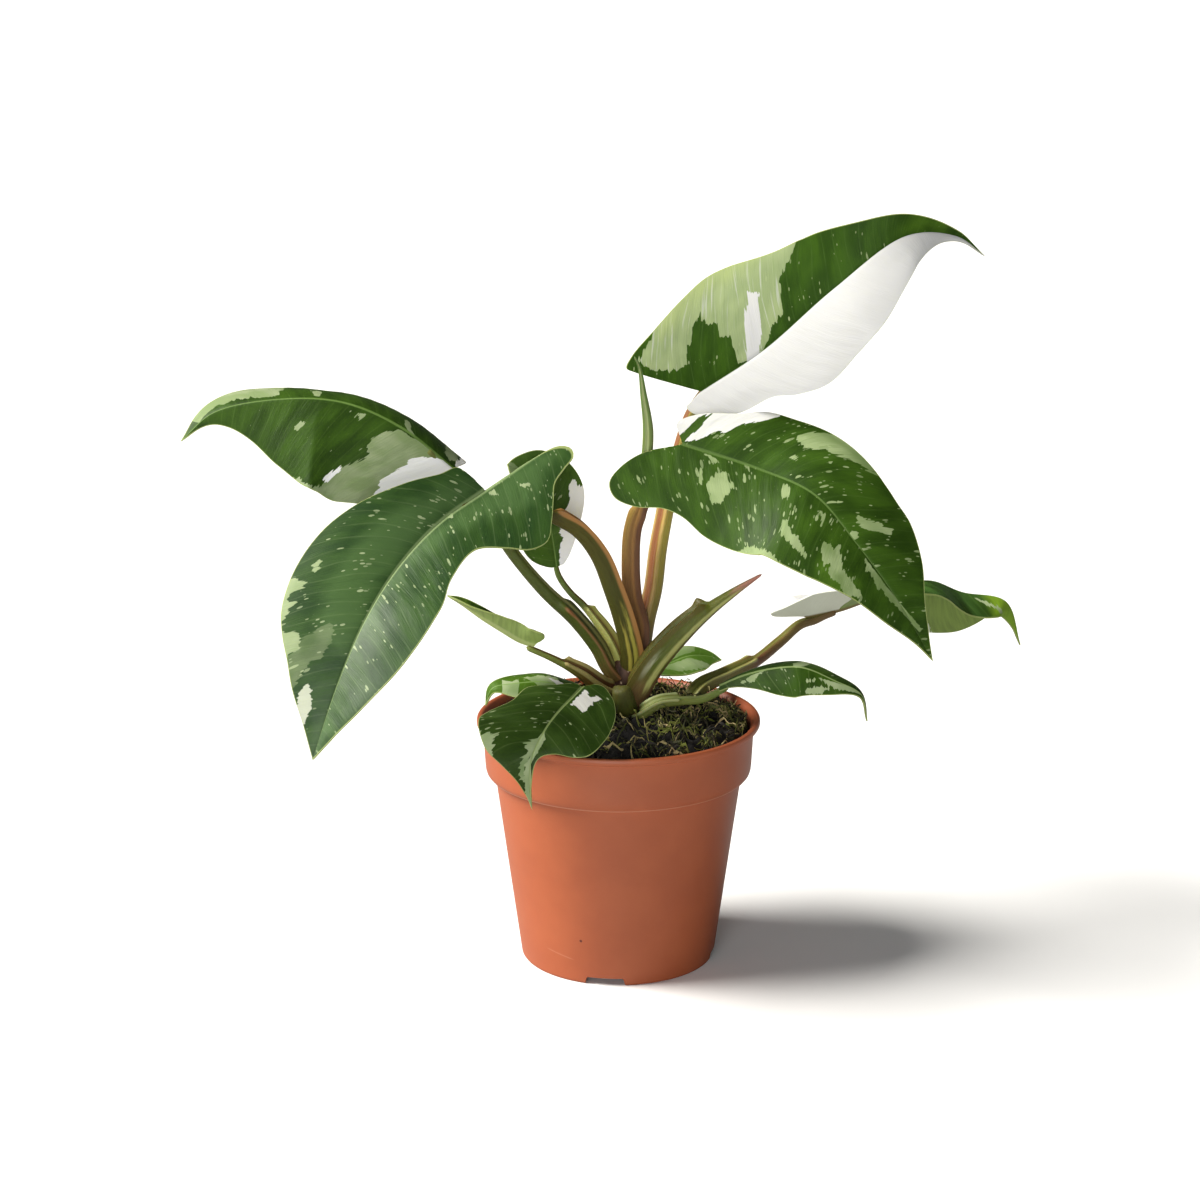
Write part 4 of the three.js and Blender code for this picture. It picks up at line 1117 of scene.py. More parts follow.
                [(44, 2), (49, 1), (56, 0), (64, 0), (58, 2), (50, 3)],
            ],
            light=[[(34, -12), (52, -12), (52, 2), (40, -1)]],
        ),
    ),
    dict(
        name="leaf_far_right", slot="pale_leaf", rows=130, columns=34,
        look=dict(
            # Light is the bright tone of the painted light on the tip
            Spots=0.25, Rib_Width=0.6, Green=(0.05, 0.12, 0.02), Light=(0.24, 0.4, 0.025),
            White=(0.78, 0.78, 0.76), Rim=(0.3, 0.36, 0.12),
        ),
        under=under_olive,
        rib=[
            (85, 66, 131), (101, 73, 133), (120, 80, 138), (140, 87, 142), (157, 92, 135),
            (177, 94, 130), (184, 93, 110),
        ],
        face=[(-0.1, -0.1, 1), (0.1, -0.3, 0.95), (0.6, -0.6, 0.5)],
        left=dict(
            edge=[
                (-4, 5), (-8, 10), (-4, 14), (4, 17), (20, 20), (44, 24), (60, 25), (74, 23),
                (88, 16), (102, 7), (114, 2),
            ],
            lift=[20, -10, -105, -100, -90], curl=10,
        ),
        right=dict(
            edge=[
                (-9, 4), (-18, 5), (-20, 7), (-14, 9), (-3, 13), (14, 17), (36, 19), (60, 18),
                (82, 17), (100, 11), (114, 2),
            ],
            lift=[70, 12, 0], curl=10,
        ),
        patches=dict(
            white=[
                [(-30, -30), (16, -30), (20, -10), (14, 0), (20, 8), (14, 24), (-30, 24)],
                [(68, -17), (74, -22), (78, -24), (72, -28), (64, -24)],
            ],
            sage=[
                [(14, 0), (22, -6), (34, -20), (40, -30), (12, -32), (18, -14)],
                [(14, 2), (26, 4), (34, 12), (30, 22), (10, 22)],
            ],
            # Painted light: the tip is given a bright yellow-green where the light catches it
            light=[[(88, -14), (126, -14), (126, 14), (92, 14)]],
            pale=[[(84, 3), (92, 5), (100, 8), (98, 10), (88, 7)]],
        ),
    ),
    dict(
        name="leaf_small_back", slot="pale_leaf", rows=50, columns=16,
        look=dict(
            Spots=0.6, Green=(0.11, 0.19, 0.04), Deep=(0.07, 0.135, 0.03), Rays=0.2, Sage_Share=0.6,
        ),
        under=under_green,
        rib=[(16, 24, 119), (23, 27, 121), (31, 30, 123), (39, 33, 122), (45, 34, 120)],
        face=[(-0.11, -0.36, 0.93), (0.02, -0.36, 0.93), (0.35, -0.41, 0.84)],
        left=dict(edge=[(-1, 3), (4, 7), (12, 8), (20, 7), (27, 3)], lift=8, curl=20),
        right=dict(edge=[(-1, 4), (4, 8), (13, 11), (20, 10), (27, 5)], lift=8, curl=20),
        patches=dict(
            sage=[
                [(2, 1), (16, 2), (26, 8), (18, 10), (6, 7)],
                [(8, -1), (20, -2), (22, -8), (12, -6)],
            ],
            light=[[(0, -10), (30, -10), (30, 12), (0, 12)]],
        ),
    ),
]

sheets = {}
for leaf in LEAVES:
    both_sides = [leaf_top(leaf["name"] + "_top", **leaf.pop("look")), leaf.pop("under")]
    sheets[leaf["name"]] = make_blade(materials=both_sides, **leaf)


# Stalks, drawn as tubes whose open side has a groove between the two edges of a sheath
SEAT_LENGTH = 3
GAP = 0.3
STALK_SIDES = 40
RING_SPACING = 1.2


def make_stalk(
    name, slot, materials, path, radii, open_side, sheath, wing, fold, run_under=0, ear=0.25
):
    """A stalk that ends under its blade's midrib and may run on under it. The sheath reaches up a
    share of the length, its edges stand out by a wing and end in an ear, and fold says how far
    round they lie from the open side."""
    leaf = name.replace("_stalk", "")
    if leaf in sheets:
        sheet = sheets[leaf]
        reach = np.array([SEAT_LENGTH, SEAT_LENGTH + 5.0, SEAT_LENGTH + 11.0])[: 1 + run_under]
        middle, tangent, normal = sheet.frame(reach)
        size = np.array([0.95 * radii[-1], 0.5 * radii[-1], 0.15 * radii[-1]])[: 1 + run_under]
        lifts = [spread(sheet.halves[half]["lift"], 0) for half in (1, -1)]
        fold_up = math.radians(sum(lifts))
        rib_depth = RIB_DEPTH * max(0.25, math.cos(fold_up)) if fold_up > 0 else RIB_DEPTH
        depth = rib_depth + BLADE_THICKNESS / 2 + GAP + size
        depth[1:] -= GAP
        path = [*path[:-1], *(middle - normal * depth[:, None])]
    line = through(path, 400)
    total = lengths_of(line)[-1]
    rings = int(total / RING_SPACING) + 6
    start_clean()
    bpy.ops.mesh.primitive_grid_add(x_subdivisions=STALK_SIDES, y_subdivisions=rings, size=2)
    piece = bpy.context.object
    grid = corners(piece)
    share = (grid[:, 1] + 1) / 2
    turn = grid[:, 0] * math.pi
    centre = at_share(line, share)
    ahead = at_share(line, np.minimum(share + 0.01, 1))
    tangent = unit(ahead - at_share(line, np.maximum(share - 0.01, 0)))
    opening = np.asarray(open_side, float)
    front = unit(opening - (tangent @ opening)[:, None] * tangent)
    side = np.cross(tangent, front)
    radius = spread(list(radii), share)
    around = np.abs(turn)
    edge = math.radians(fold)
    shape = np.interp(around, [0, 0.55 * edge, edge], [0.8, 0.95, 1])
    raised = np.interp(
        around,
        [0, 0.55 * edge, 0.85 * edge, edge, edge + 0.12, edge + 0.45, 2.27],
        [-0.2, 0.1, 0.45, 1, 0.75, 0.2, 0],
    )
    winged = np.full(len(share), float(wing))
    if sheath < 1:
        winged = wing * (1 + ear * ease(sheath - 0.07, sheath - 0.015, share))
        winged *= 1 - ease(sheath - 0.02, sheath + 0.02, share)
    out = radius * (shape + raised * winged)
    out *= np.sqrt(np.clip(1 - ease(1 - 1.5 / total, 1, share), 0, 1))
    out *= np.where(share < 1e-6, 0.0, 1.0)
    co = centre + front * (out * np.cos(turn))[:, None] + side * (out * np.sin(turn))[:, None]
    place_corners(piece, co * MM)
    save_uv(piece, "skin", np.stack([share * total / PATTERN_LENGTH, turn / math.pi], 1))
    save_value(piece, "height", share)
    save_value(piece, "around", around / math.pi)
    save_value(piece, "turned", np.sin(turn))
    save_value(piece, "edge", raised * winged)
    merge_doubles(piece)
    face_outward(piece)
    smooth(piece, 60)
    hand_over(piece, name, materials, name)


def stalk_skin(name, stops, groove, edge, flank=None, bands=()):
    """Colours along the stalk, in its groove, on the sheath's edges, down its right flank and in
    bands, each from one to another share round it and from one to another share of its length."""
    material, board, shader = new_material(name)
    skin = board.uv("skin")
    streaks = board.noise(board.scaled(skin, (14, 16, 1)), 1.0, 3.0, 0.6)
    fine = board.noise(board.scaled(skin, (40, 60, 1)), 1.0, 2.0, 0.6)
    height = board.plus(board.attribute("height"), board.stretch(streaks, 0.16, -0.08))
    colour = board.ramp(height, stops)
    if flank:
        side = board.plus(board.attribute("turned"), board.stretch(streaks, 0.5, -0.25))
        colour = board.mix(board.step(side, -0.1, 0.75), colour, flank)
    around = board.stretch(streaks, 0.12, board.less(board.attribute("around"), 0.06))
    for low, high, first, last, tone in bands:
        band = board.between(around, low, high, 0.04)
        span = board.between(height, first, last, 0.05)
        colour = board.tint(colour, board.times(band, span), 0.9, tone)
    colour = board.tint(colour, board.step(streaks, 0.45, 0.75), 0.3, (0.03, 0.018, 0.006))
    inner = board.rest(board.step(board.attribute("around"), 0.08, 0.2))
    colour = board.tint(colour, inner, 0.75, groove)
    colour = board.tint(colour, board.step(board.attribute("edge"), 0.3, 0.6), 0.9, edge)
    board.feed(shader.inputs["Base Color"], colour)
    shader.inputs["Roughness"].default_value = 0.4
    shader.inputs["Specular IOR Level"].default_value = 0.25
    shader.inputs["Subsurface Weight"].default_value = 0.08
    shader.inputs["Subsurface Scale"].default_value = 0.002
    bump(board, shader, board.plus(fine, streaks), 0.0003, 0.6)
    return material


dark_olive = (0.085, 0.085, 0.018)
brown = (0.12, 0.05, 0.02)
tan = (0.38, 0.22, 0.10)
yellow_green = (0.40, 0.42, 0.13)
fresh_green = (0.13, 0.20, 0.035)

STALKS = [
    dict(
        name="bract", slot="green_stalk",
        look=dict(
            stops=[
                (0, (0.09, 0.04, 0.02)), (0.16, (0.13, 0.09, 0.03)), (0.28, (0.075, 0.1, 0.008)),
                (0.8, (0.11, 0.12, 0.012)), (0.88, (0.34, 0.17, 0.11)), (1, (0.5, 0.2, 0.16)),
            ],
            groove=(0.07, 0.085, 0.008), edge=(0.1, 0.085, 0.015),
            bands=[
                (0.5, 0.68, 0.15, 0.86, (0.44, 0.45, 0.15)),
                (0.76, 1.2, -1, 0.95, (0.13, 0.055, 0.03)),
                (0.24, 0.36, 0.22, 0.34, (0.36, 0.36, 0.22)),
            ],
        ),
        path=[
            (7, -6, 112), (9, -9, 119), (15, -12, 131), (25, -14, 144), (36, -15, 155),
            (48, -15, 164), (59, -14, 171),
        ],
        radii=[4.6, 4.4, 4.2, 3.8, 3, 1.8, 0.5],
        open_side=(-0.65, -0.1, 0.75), sheath=0.68, wing=1.1, fold=30, ear=0.7,
    ),
    dict(
        name="leaf_front_left_stalk", slot="brown_stalk",
        look=dict(
            stops=[
                (0, (0.065, 0.06, 0.01)), (0.3, (0.07, 0.07, 0.01)), (0.7, (0.1, 0.085, 0.014)),
                (0.9, (0.12, 0.1, 0.03)), (1, fresh_green),
            ],
            groove=(0.06, 0.05, 0.01), edge=(0.42, 0.2, 0.06), flank=(0.17, 0.1, 0.02),
            bands=[
                (0.3, 0.42, -1, 0.22, (0.5, 0.44, 0.08)), (0.5, 0.62, -1, 0.16, (0.45, 0.38, 0.07)),
            ],
        ),
        path=[
            (4, -2, 127), (4, -5, 136), (1, -8, 150), (-3, -11, 163), (-9, -14, 179),
            (-17, -17, 190), (-26, -20, 196), (-40, -22, 203), (-51, -25, 207),
        ],
        radii=[3.6, 3.4, 3.2, 3, 2.7, 2.4, 2.2, 2],
        open_side=(0.8, 0.2, 0.4), sheath=0.64, wing=1.15, fold=30, run_under=2,
    ),
    dict(
        name="sheath_stub", slot="green_stalk",
        look=dict(
            stops=[(0, dark_olive), (0.6, (0.07, 0.08, 0.014)), (1, (0.12, 0.12, 0.03))],
            groove=(0.05, 0.05, 0.01), edge=(0.4, 0.36, 0.22),
        ),
        path=[(3, -10, 106), (2, -13, 114), (0.5, -15, 123)],
        radii=[4.8, 4.6, 3.4],
        open_side=(0.3, 0.9, 0.2), sheath=1, wing=0.3, fold=58,
    ),
    dict(
        name="leaf_right_stalk", slot="brown_stalk",
        look=dict(
            stops=[
                (0, (0.13, 0.055, 0.03)), (0.35, (0.2, 0.1, 0.03)), (0.6, (0.34, 0.21, 0.045)),
                (0.85, (0.44, 0.29, 0.06)), (1, (0.3, 0.25, 0.06)),
            ],
            groove=(0.26, 0.13, 0.04), edge=(0.4, 0.24, 0.1), flank=(0.15, 0.065, 0.03),
        ),
        path=[
            (6, 2, 127), (8, 2, 132), (9, 2, 143), (6, 1, 156), (5, 0, 171), (6, -1, 187),
            (11, -3, 201), (17, -5, 213), (24, -8, 221),
        ],
        radii=[3.4, 3.4, 3.3, 3.2, 3, 2.6, 2.2],
        open_side=(0, -0.7, 0.4), sheath=0.6, wing=0.4, fold=58, run_under=2,
    ),
    dict(
        name="leaf_upper_right_stalk", slot="brown_stalk",
        look=dict(
            stops=[
                (0, brown), (0.2, (0.22, 0.17, 0.03)), (0.45, (0.42, 0.34, 0.05)),
                (0.75, (0.55, 0.44, 0.1)), (1, (0.34, 0.3, 0.1)),
            ],
            groove=(0.26, 0.1, 0.04), edge=tan,
            bands=[
                (-0.2, 0.22, -1, 0.85, (0.26, 0.1, 0.035)),
                (0.24, 0.3, -1, 0.6, (0.45, 0.28, 0.12)),
            ],
        ),
        path=[
            (8, 4, 124), (10, 6, 133), (12, 6, 146), (15, 7, 159), (17, 8, 176), (20, 9, 193),
            (25, 10, 218), (30, 10, 234), (33, 8, 242),
        ],
        radii=[3.6, 3.5, 3.4, 3.2, 2.8, 2.2, 1.9],
        open_side=(-0.8, -0.5, 0.2), sheath=0.55, wing=0.5, fold=58, run_under=2,
    ),
    dict(
        name="leaf_left_stalk", slot="brown_stalk",
        look=dict(
            stops=[
                (0, (0.13, 0.08, 0.025)), (0.15, (0.055, 0.075, 0.01)),
                (0.7, (0.075, 0.095, 0.013)), (1, (0.15, 0.17, 0.04)),
            ],
            groove=(0.34, 0.34, 0.13), edge=(0.28, 0.12, 0.05),
        ),
        path=[
            (0, -1, 122), (-4, -2, 127), (-9, -3, 137), (-18, -4, 149), (-31, -5, 162),
            (-44, -5, 178), (-57, -3, 198), (-66, -2, 211),
        ],
        radii=[3.4, 3.4, 3.2, 2.8, 2.7, 2.5, 2.2],
        open_side=(0.6, -0.2, 0.7), sheath=0.32, wing=0.6, fold=58, run_under=2,
    ),
    dict(
        name="leaf_back_left_stalk", slot="green_stalk",
        look=dict(
            stops=[
                (0, (0.42, 0.4, 0.1)), (0.45, (0.44, 0.46, 0.11)), (0.55, (0.13, 0.17, 0.035)),
                (1, fresh_green),
            ],
            groove=(0.2, 0.12, 0.04), edge=(0.44, 0.46, 0.14),
        ),
        path=[
            (0, 2, 128), (-1, 2, 132), (-4, 4, 138), (-9, 6, 145), (-15, 8, 152), (-20, 8, 157),
            (-25, 9, 164), (-26, 7, 168),
        ],
        radii=[2.2, 2.2, 2, 1.6, 1.4, 1.3, 1],
        open_side=(0.7, -0.3, 0.5), sheath=0.5, wing=1.3, fold=50,
    ),
    dict(
        name="leaf_folded_left_stalk", slot="brown_stalk",
        look=dict(
            stops=[
                (0, (0.1, 0.04, 0.015)), (0.4, (0.13, 0.08, 0.015)), (0.65, (0.13, 0.15, 0.02)),
                (1, (0.2, 0.24, 0.05)),
            ],
            groove=(0.13, 0.05, 0.02), edge=(0.38, 0.32, 0.12),
        ),
        path=[
            (-2, -6, 117), (-7, -10, 120), (-16, -13, 128), (-24, -14, 133), (-30, -14, 136),
            (-35, -14, 140),
        ],
        radii=[2.8, 2.8, 2.4, 1.7, 1.4, 1.3],
        open_side=(0.4, -0.3, 0.9), sheath=0.62, wing=1.4, fold=40,
    ),
    dict(
        name="leaf_front_rim_stalk", slot="green_stalk",
        look=dict(
            stops=[(0, fresh_green), (1, (0.25, 0.3, 0.08))], groove=yellow_green,
            edge=yellow_green,
        ),
        path=[(-7, -8, 112), (-8, -14, 116), (-10, -22, 121), (-12, -29, 126), (-15, -35, 128)],
        radii=[2.4, 2.2, 1.8, 1.6],
        open_side=(0, -0.2, 1), sheath=0.4, wing=0.6, fold=58,
    ),
    dict(
        name="leaf_right_rim_stalk", slot="green_stalk",
        look=dict(
            stops=[(0, (0.15, 0.17, 0.04)), (0.6, (0.17, 0.2, 0.04)), (1, (0.13, 0.2, 0.04))],
            groove=(0.3, 0.34, 0.12), edge=(0.42, 0.46, 0.2),
        ),
        path=[
            (8, -9, 104), (10, -16, 111), (17, -17, 116), (26, -16, 117), (35, -15, 117.5),
            (41, -14, 122),
        ],
        radii=[2.4, 2.4, 2.2, 1.9, 1.7, 1.3],
        open_side=(-0.2, -0.3, 1), sheath=0.55, wing=0.8, fold=45,
    ),
    dict(
        name="leaf_left_rim_stalk", slot="green_stalk",
        look=dict(
            stops=[(0, fresh_green), (1, fresh_green)], groove=yellow_green, edge=yellow_green,
        ),
        path=[(-3, -5, 108), (-6, -10, 112), (-12, -17, 117), (-18, -21, 122)],
        radii=[1.8, 1.7, 1.5, 1.3],
        open_side=(0, -0.2, 1), sheath=0.4, wing=0.5, fold=58,
    ),
    dict(
        name="leaf_far_right_stalk", slot="brown_stalk",
        look=dict(
            stops=[
                (0, (0.14, 0.15, 0.03)), (0.4, (0.15, 0.13, 0.03)), (0.5, (0.14, 0.06, 0.03)),
                (0.7, (0.17, 0.12, 0.035)), (1, (0.16, 0.1, 0.04)),
            ],
            groove=(0.14, 0.15, 0.03), edge=(0.36, 0.36, 0.12),
        ),
        path=[
            (27, 17, 98), (35, 22, 110), (47, 33, 113), (60, 45, 116), (72, 57, 122), (81, 63, 128),
            (84, 66, 130),
        ],
        radii=[3, 3, 2.8, 2.6, 2.5, 2.2, 1.6],
        open_side=(-0.3, -0.4, 0.9), sheath=0.5, wing=0.7, fold=40, run_under=2,
    ),
    dict(
        name="leaf_small_back_stalk", slot="green_stalk",
        look=dict(
            stops=[(0, fresh_green), (1, (0.25, 0.3, 0.08))], groove=yellow_green,
            edge=yellow_green,
        ),
        path=[(12, 11, 100), (13, 14, 110), (14, 19, 116), (16, 23, 118)],
        radii=[1.6, 1.5, 1.3, 1.1],
        open_side=(0, -0.3, 1), sheath=0.3, wing=0.4, fold=58,
    ),
    dict(
        name="rolled_leaf", slot="green_stalk",
        look=dict(
            stops=[(0, (0.18, 0.2, 0.06)), (0.3, (0.15, 0.2, 0.05)), (1, (0.08, 0.16, 0.03))],
            groove=(0.28, 0.32, 0.14), edge=(0.34, 0.38, 0.16),
        ),
        path=[
            (10, -7, 198), (10, -8, 206), (11, -8, 213), (12, -8, 230), (10, -8, 245), (8, -9, 257),
            (6, -10, 261),
        ],
        radii=[1.6, 2, 2.1, 2, 1.5, 0.9, 0.4],
        open_side=(-0.3, -0.9, 0.2), sheath=1, wing=0.25, fold=58,
    ),
]

for stalk in STALKS:
    skin = stalk_skin(stalk["name"] + "_skin", **stalk.pop("look"))
    make_stalk(materials=[skin], **stalk)


# Pot
RIM_RADIUS = 60
POT_HEIGHT = 105.5
LIP_HEIGHT = 2.8
COLLAR_TOP_RADIUS = 57.3
COLLAR_LOW_RADIUS = 56.5
COLLAR_BOTTOM = 81.2
BODY_TOP_RADIUS = 52.4
FOOT_RADIUS = 41.4
WALL = 1.5
FLOOR_UNDERSIDE = 4
FLOOR_THICKNESS = 1.5
FOOT_RING_WIDTH = 3.6
NOTCH_ANGLES = [-98, -8, 82, 172]
NOTCH_HEIGHT = 3.3
NOTCH_TOP_WIDTH = 15.5
NOTCH_FOOT_WIDTH = 17.5
DRAIN_RADIUS = 3.5
DRAIN_CIRCLE_RADIUS = 28


def body_radius(height):
    return FOOT_RADIUS + (BODY_TOP_RADIUS - FOOT_RADIUS) * height / COLLAR_BOTTOM


def inner_radius(height):
    body_top = COLLAR_BOTTOM - 1
    if height <= body_top:
        return body_radius(height) - WALL
    low = body_radius(body_top) - WALL
    low += (COLLAR_LOW_RADIUS + 0.1 - WALL - low) * min((height - body_top) / 4, 1)
    rise = max(height - body_top - 4, 0) / (POT_HEIGHT - body_top - 4)
    return low + rise * (COLLAR_TOP_RADIUS - COLLAR_LOW_RADIUS)


def turned(profile, sides=144):
    """A round body drawn up ring by ring from its foot, closed in the middle at both ends."""
    start_clean()
    radius, height = profile[0]
    bpy.ops.mesh.primitive_circle_add(
        vertices=sides, radius=radius * MM, fill_type="NGON", location=(0, 0, height * MM)
    )
    piece = bpy.context.object
    open_mesh(piece)
    for next_radius, next_height in profile[1:]:
        rise = (0, 0, (next_height - height) * MM)
        bpy.ops.mesh.extrude_region_move(TRANSFORM_OT_translate={"value": rise})
        size = next_radius / radius
        bpy.ops.transform.resize(value=(size, size, 1), center_override=(0, 0, next_height * MM))
        radius, height = next_radius, next_height
    close_mesh()
    seat_in_place(piece)
    face_outward(piece)
    return piece


def cut_with(piece, cutter):
    apply_modifier(piece, "BOOLEAN", operation="DIFFERENCE", solver="EXACT", object=cutter)
    bpy.data.objects.remove(cutter)


def pot_plastic():
    """Terracotta-coloured plastic, here in metres: painted shade on the inner wall, a painted
    highlight along the collar's lower edge, and marked in places.
    """
    material, board, shader = new_material("terracotta_plastic")
    place = board.add("ShaderNodeTexCoord").outputs["Object"]
    cloud = board.noise(place, 40, 4, 0.55)
    fine = board.noise(place, 2600, 2, 0.6)
    colour = board.mix(board.step(cloud, 0.3, 0.7), (0.365, 0.086, 0.030), (0.40, 0.098, 0.034))
    x, y, z = board.split(place)[:3]
    out = board.math("SQRT", board.plus(board.times(x, x), board.times(y, y)))
    # Painted shade: the inner wall above the soil is given a darker tone, as if shaded by the pot
    # itself
    inside = board.rest(board.step(out, 0.0558, 0.0564))
    inside = board.times(inside, board.step(z, 0.088, 0.094))
    colour = board.tint(colour, inside, 0.8, (0.13, 0.042, 0.022))
    # A painted highlight: a light line round the lower edge of the collar
    edge_highlight = board.less(board.step(z, 0.0811, 0.0815), board.step(z, 0.0819, 0.0825))
    edge_highlight = board.times(edge_highlight, board.step(out, 0.0525, 0.0532))
    colour = board.tint(colour, edge_highlight, 0.45, (0.66, 0.30, 0.18))
    # A speck of dirt and a light scratch low on the front
    speck = board.add("ShaderNodeVectorMath", operation="DISTANCE")
    board.feed(speck.inputs[0], place)
    speck.inputs[1].default_value = (-0.0158, -0.0412, 0.0200)
    dirt = board.rest(board.step(speck.outputs["Value"], 0.0004, 0.0008))
    colour = board.mix(dirt, colour, (0.10, 0.02, 0.01))
    level = board.math("ABSOLUTE", board.less(board.stretch(x, 0.2, z), 0.0068))
    line = board.rest(board.step(level, 0.0001, 0.0004))
    line = board.times(line, board.between(x, -0.0295, -0.0195, 0.0015))
    line = board.times(line, board.math("LESS_THAN", y, 0.0))
    colour = board.tint(colour, line, 0.35, (0.55, 0.25, 0.14))
    board.feed(shader.inputs["Base Color"], colour)
    board.feed(shader.inputs["Roughness"], board.stretch(cloud, 0.1, 0.42))
    shader.inputs["Subsurface Weight"].default_value = 0.05
    shader.inputs["Subsurface Scale"].default_value = 0.002
    bump(board, shader, fine, 0.00004, 0.5)
    return material


def make_pot():
    """The outline runs from the middle of the underside up the outside, over the rim and down the
    inside to the middle of the floor. Notches and drain holes are cut out last."""
    floor_top = FLOOR_UNDERSIDE + FLOOR_THICKNESS
    lip = POT_HEIGHT - LIP_HEIGHT
    foot_inner = FOOT_RADIUS - FOOT_RING_WIDTH
    profile = [
        (3, FLOOR_UNDERSIDE),
        (foot_inner - 1, FLOOR_UNDERSIDE),
        (foot_inner - 0.2, 0.3),
        (foot_inner + 0.1, 0),
        (FOOT_RADIUS - 0.9, 0),
        (FOOT_RADIUS - 0.35, 0.12),
        (FOOT_RADIUS, 0.6),
        (body_radius(0.9), 0.9),
        (body_radius(1.6), 1.6),
        (body_radius(20), 20),
        (body_radius(45), 45),
        (body_radius(COLLAR_BOTTOM - 1.2), COLLAR_BOTTOM - 1.2),
        (body_radius(COLLAR_BOTTOM - 0.5), COLLAR_BOTTOM - 0.4),
        (body_radius(COLLAR_BOTTOM) + 0.35, COLLAR_BOTTOM),
        (COLLAR_LOW_RADIUS - 1.3, COLLAR_BOTTOM + 0.5),
        (COLLAR_LOW_RADIUS - 0.55, COLLAR_BOTTOM + 1.4),
        (COLLAR_LOW_RADIUS - 0.2, COLLAR_BOTTOM + 2.6),
        (COLLAR_LOW_RADIUS, COLLAR_BOTTOM + 4.8),
        (COLLAR_LOW_RADIUS + 0.4, COLLAR_BOTTOM + 12),
        (COLLAR_TOP_RADIUS - 0.05, lip - 1.6),
        (COLLAR_TOP_RADIUS + 0.15, lip - 0.7),
        (COLLAR_TOP_RADIUS + 0.8, lip - 0.2),
        (RIM_RADIUS - 1.1, lip),
        (RIM_RADIUS - 0.35, lip + 0.25),
        (RIM_RADIUS - 0.05, lip + 0.8),
        (RIM_RADIUS, lip + 1.4),
        (RIM_RADIUS - 0.1, POT_HEIGHT - 0.7),
        (RIM_RADIUS - 0.4, POT_HEIGHT - 0.2),
        (RIM_RADIUS - 1, POT_HEIGHT),
        (RIM_RADIUS - 1.9, POT_HEIGHT - 0.05),
        (RIM_RADIUS - 2.5, POT_HEIGHT - 0.5),
        (inner_radius(POT_HEIGHT) + 0.6, POT_HEIGHT - 1.6),
        (inner_radius(POT_HEIGHT - 3.5), POT_HEIGHT - 3.5),
        (inner_radius(95), 95),
        (inner_radius(COLLAR_BOTTOM + 3), COLLAR_BOTTOM + 3),
        (inner_radius(COLLAR_BOTTOM - 1), COLLAR_BOTTOM - 1),
        (inner_radius(40), 40),
        (inner_radius(floor_top + 2), floor_top + 2),
        (inner_radius(floor_top) - 1.8, floor_top),
        (3, floor_top),
    ]
    pot = turned(profile)
    for angle in map(math.radians, NOTCH_ANGLES):
        reach = FOOT_RADIUS - 1
        start_clean()
        bpy.ops.mesh.primitive_cube_add(size=1, location=(0, 0, 0))
        notch = bpy.context.object
        shape = corners(notch)
        top = shape[:, 2] > 0
        shape[:, 2] = np.where(top, NOTCH_HEIGHT, -1)
        shape[:, 1] *= np.where(top, NOTCH_TOP_WIDTH, NOTCH_FOOT_WIDTH)
        shape[:, 0] = reach + shape[:, 0] * 9
        turn = np.array([[math.cos(angle), -math.sin(angle)], [math.sin(angle), math.cos(angle)]])
        shape[:, :2] = shape[:, :2] @ turn.T
        place_corners(notch, shape * MM)
        apply_modifier(notch, "BEVEL", width=0.8 * MM, segments=3)
        cut_with(pot, notch)
        out = DRAIN_CIRCLE_RADIUS * MM
        start_clean()
        bpy.ops.mesh.primitive_cylinder_add(
            vertices=32, radius=DRAIN_RADIUS * MM, depth=8 * MM,
            location=(out * math.cos(angle), out * math.sin(angle), 4 * MM),
        )
        hole = bpy.context.object
        seat_in_place(hole)
        cut_with(pot, hole)
    smooth(pot, 35)
    hand_over(pot, "nursery_pot", [pot_plastic()], "pot")


make_pot()


# Soil: a lumpy dark mound that fills the pot
SOIL_EDGE_HEIGHT = 99.5
SOIL_MOUND = 12
SOIL_TILT = 0.035


def soil_height(x, y):
    share = np.minimum(np.hypot(x, y) / inner_radius(SOIL_EDGE_HEIGHT), 1)
    mound = SOIL_MOUND * (1 - share**1.6)
    lumps = np.sin(x * 0.31 + 1.3) * np.cos(y * 0.27 + 0.4) + 0.6 * np.sin(x * 0.53 - y * 0.47)
    return SOIL_EDGE_HEIGHT + mound + SOIL_TILT * x + lumps * (1.1 - 0.5 * share)


def crumbs(x, y):
    """Small lumps and hollows of the mix, in millimetres."""
    total = np.zeros(np.shape(x))
    draw = random.Random(7)
    for size, height in ((6.5, 1.1), (3.4, 0.7), (1.9, 0.45), (1.1, 0.25)):
        for _ in range(5):
            turn = draw.uniform(0, 2 * math.pi)
            shift = draw.uniform(0, 6.28)
            along = (x * math.cos(turn) + y * math.sin(turn)) * 6.28
            total += height * np.sin(along / (size * draw.uniform(0.8, 1.3)) + shift) / 2.6
    return total


def soil_mix():
    material, board, shader = new_material("dark_potting_mix")
    place = board.add("ShaderNodeTexCoord").outputs["Object"]
    cloud = board.noise(place, 260, 4, 0.6)
    fine = board.noise(place, 1500, 3, 0.7)
    wet, damp, dry = (0.0015, 0.001, 0.0008), (0.006, 0.004, 0.0025), (0.03, 0.02, 0.01)
    colour = board.ramp(cloud, [(0.4, wet), (0.65, damp), (0.9, dry)])
    board.feed(shader.inputs["Base Color"], colour)
    shader.inputs["Roughness"].default_value = 0.95
    bump(board, shader, fine, 0.0008, 0.8)
    return material


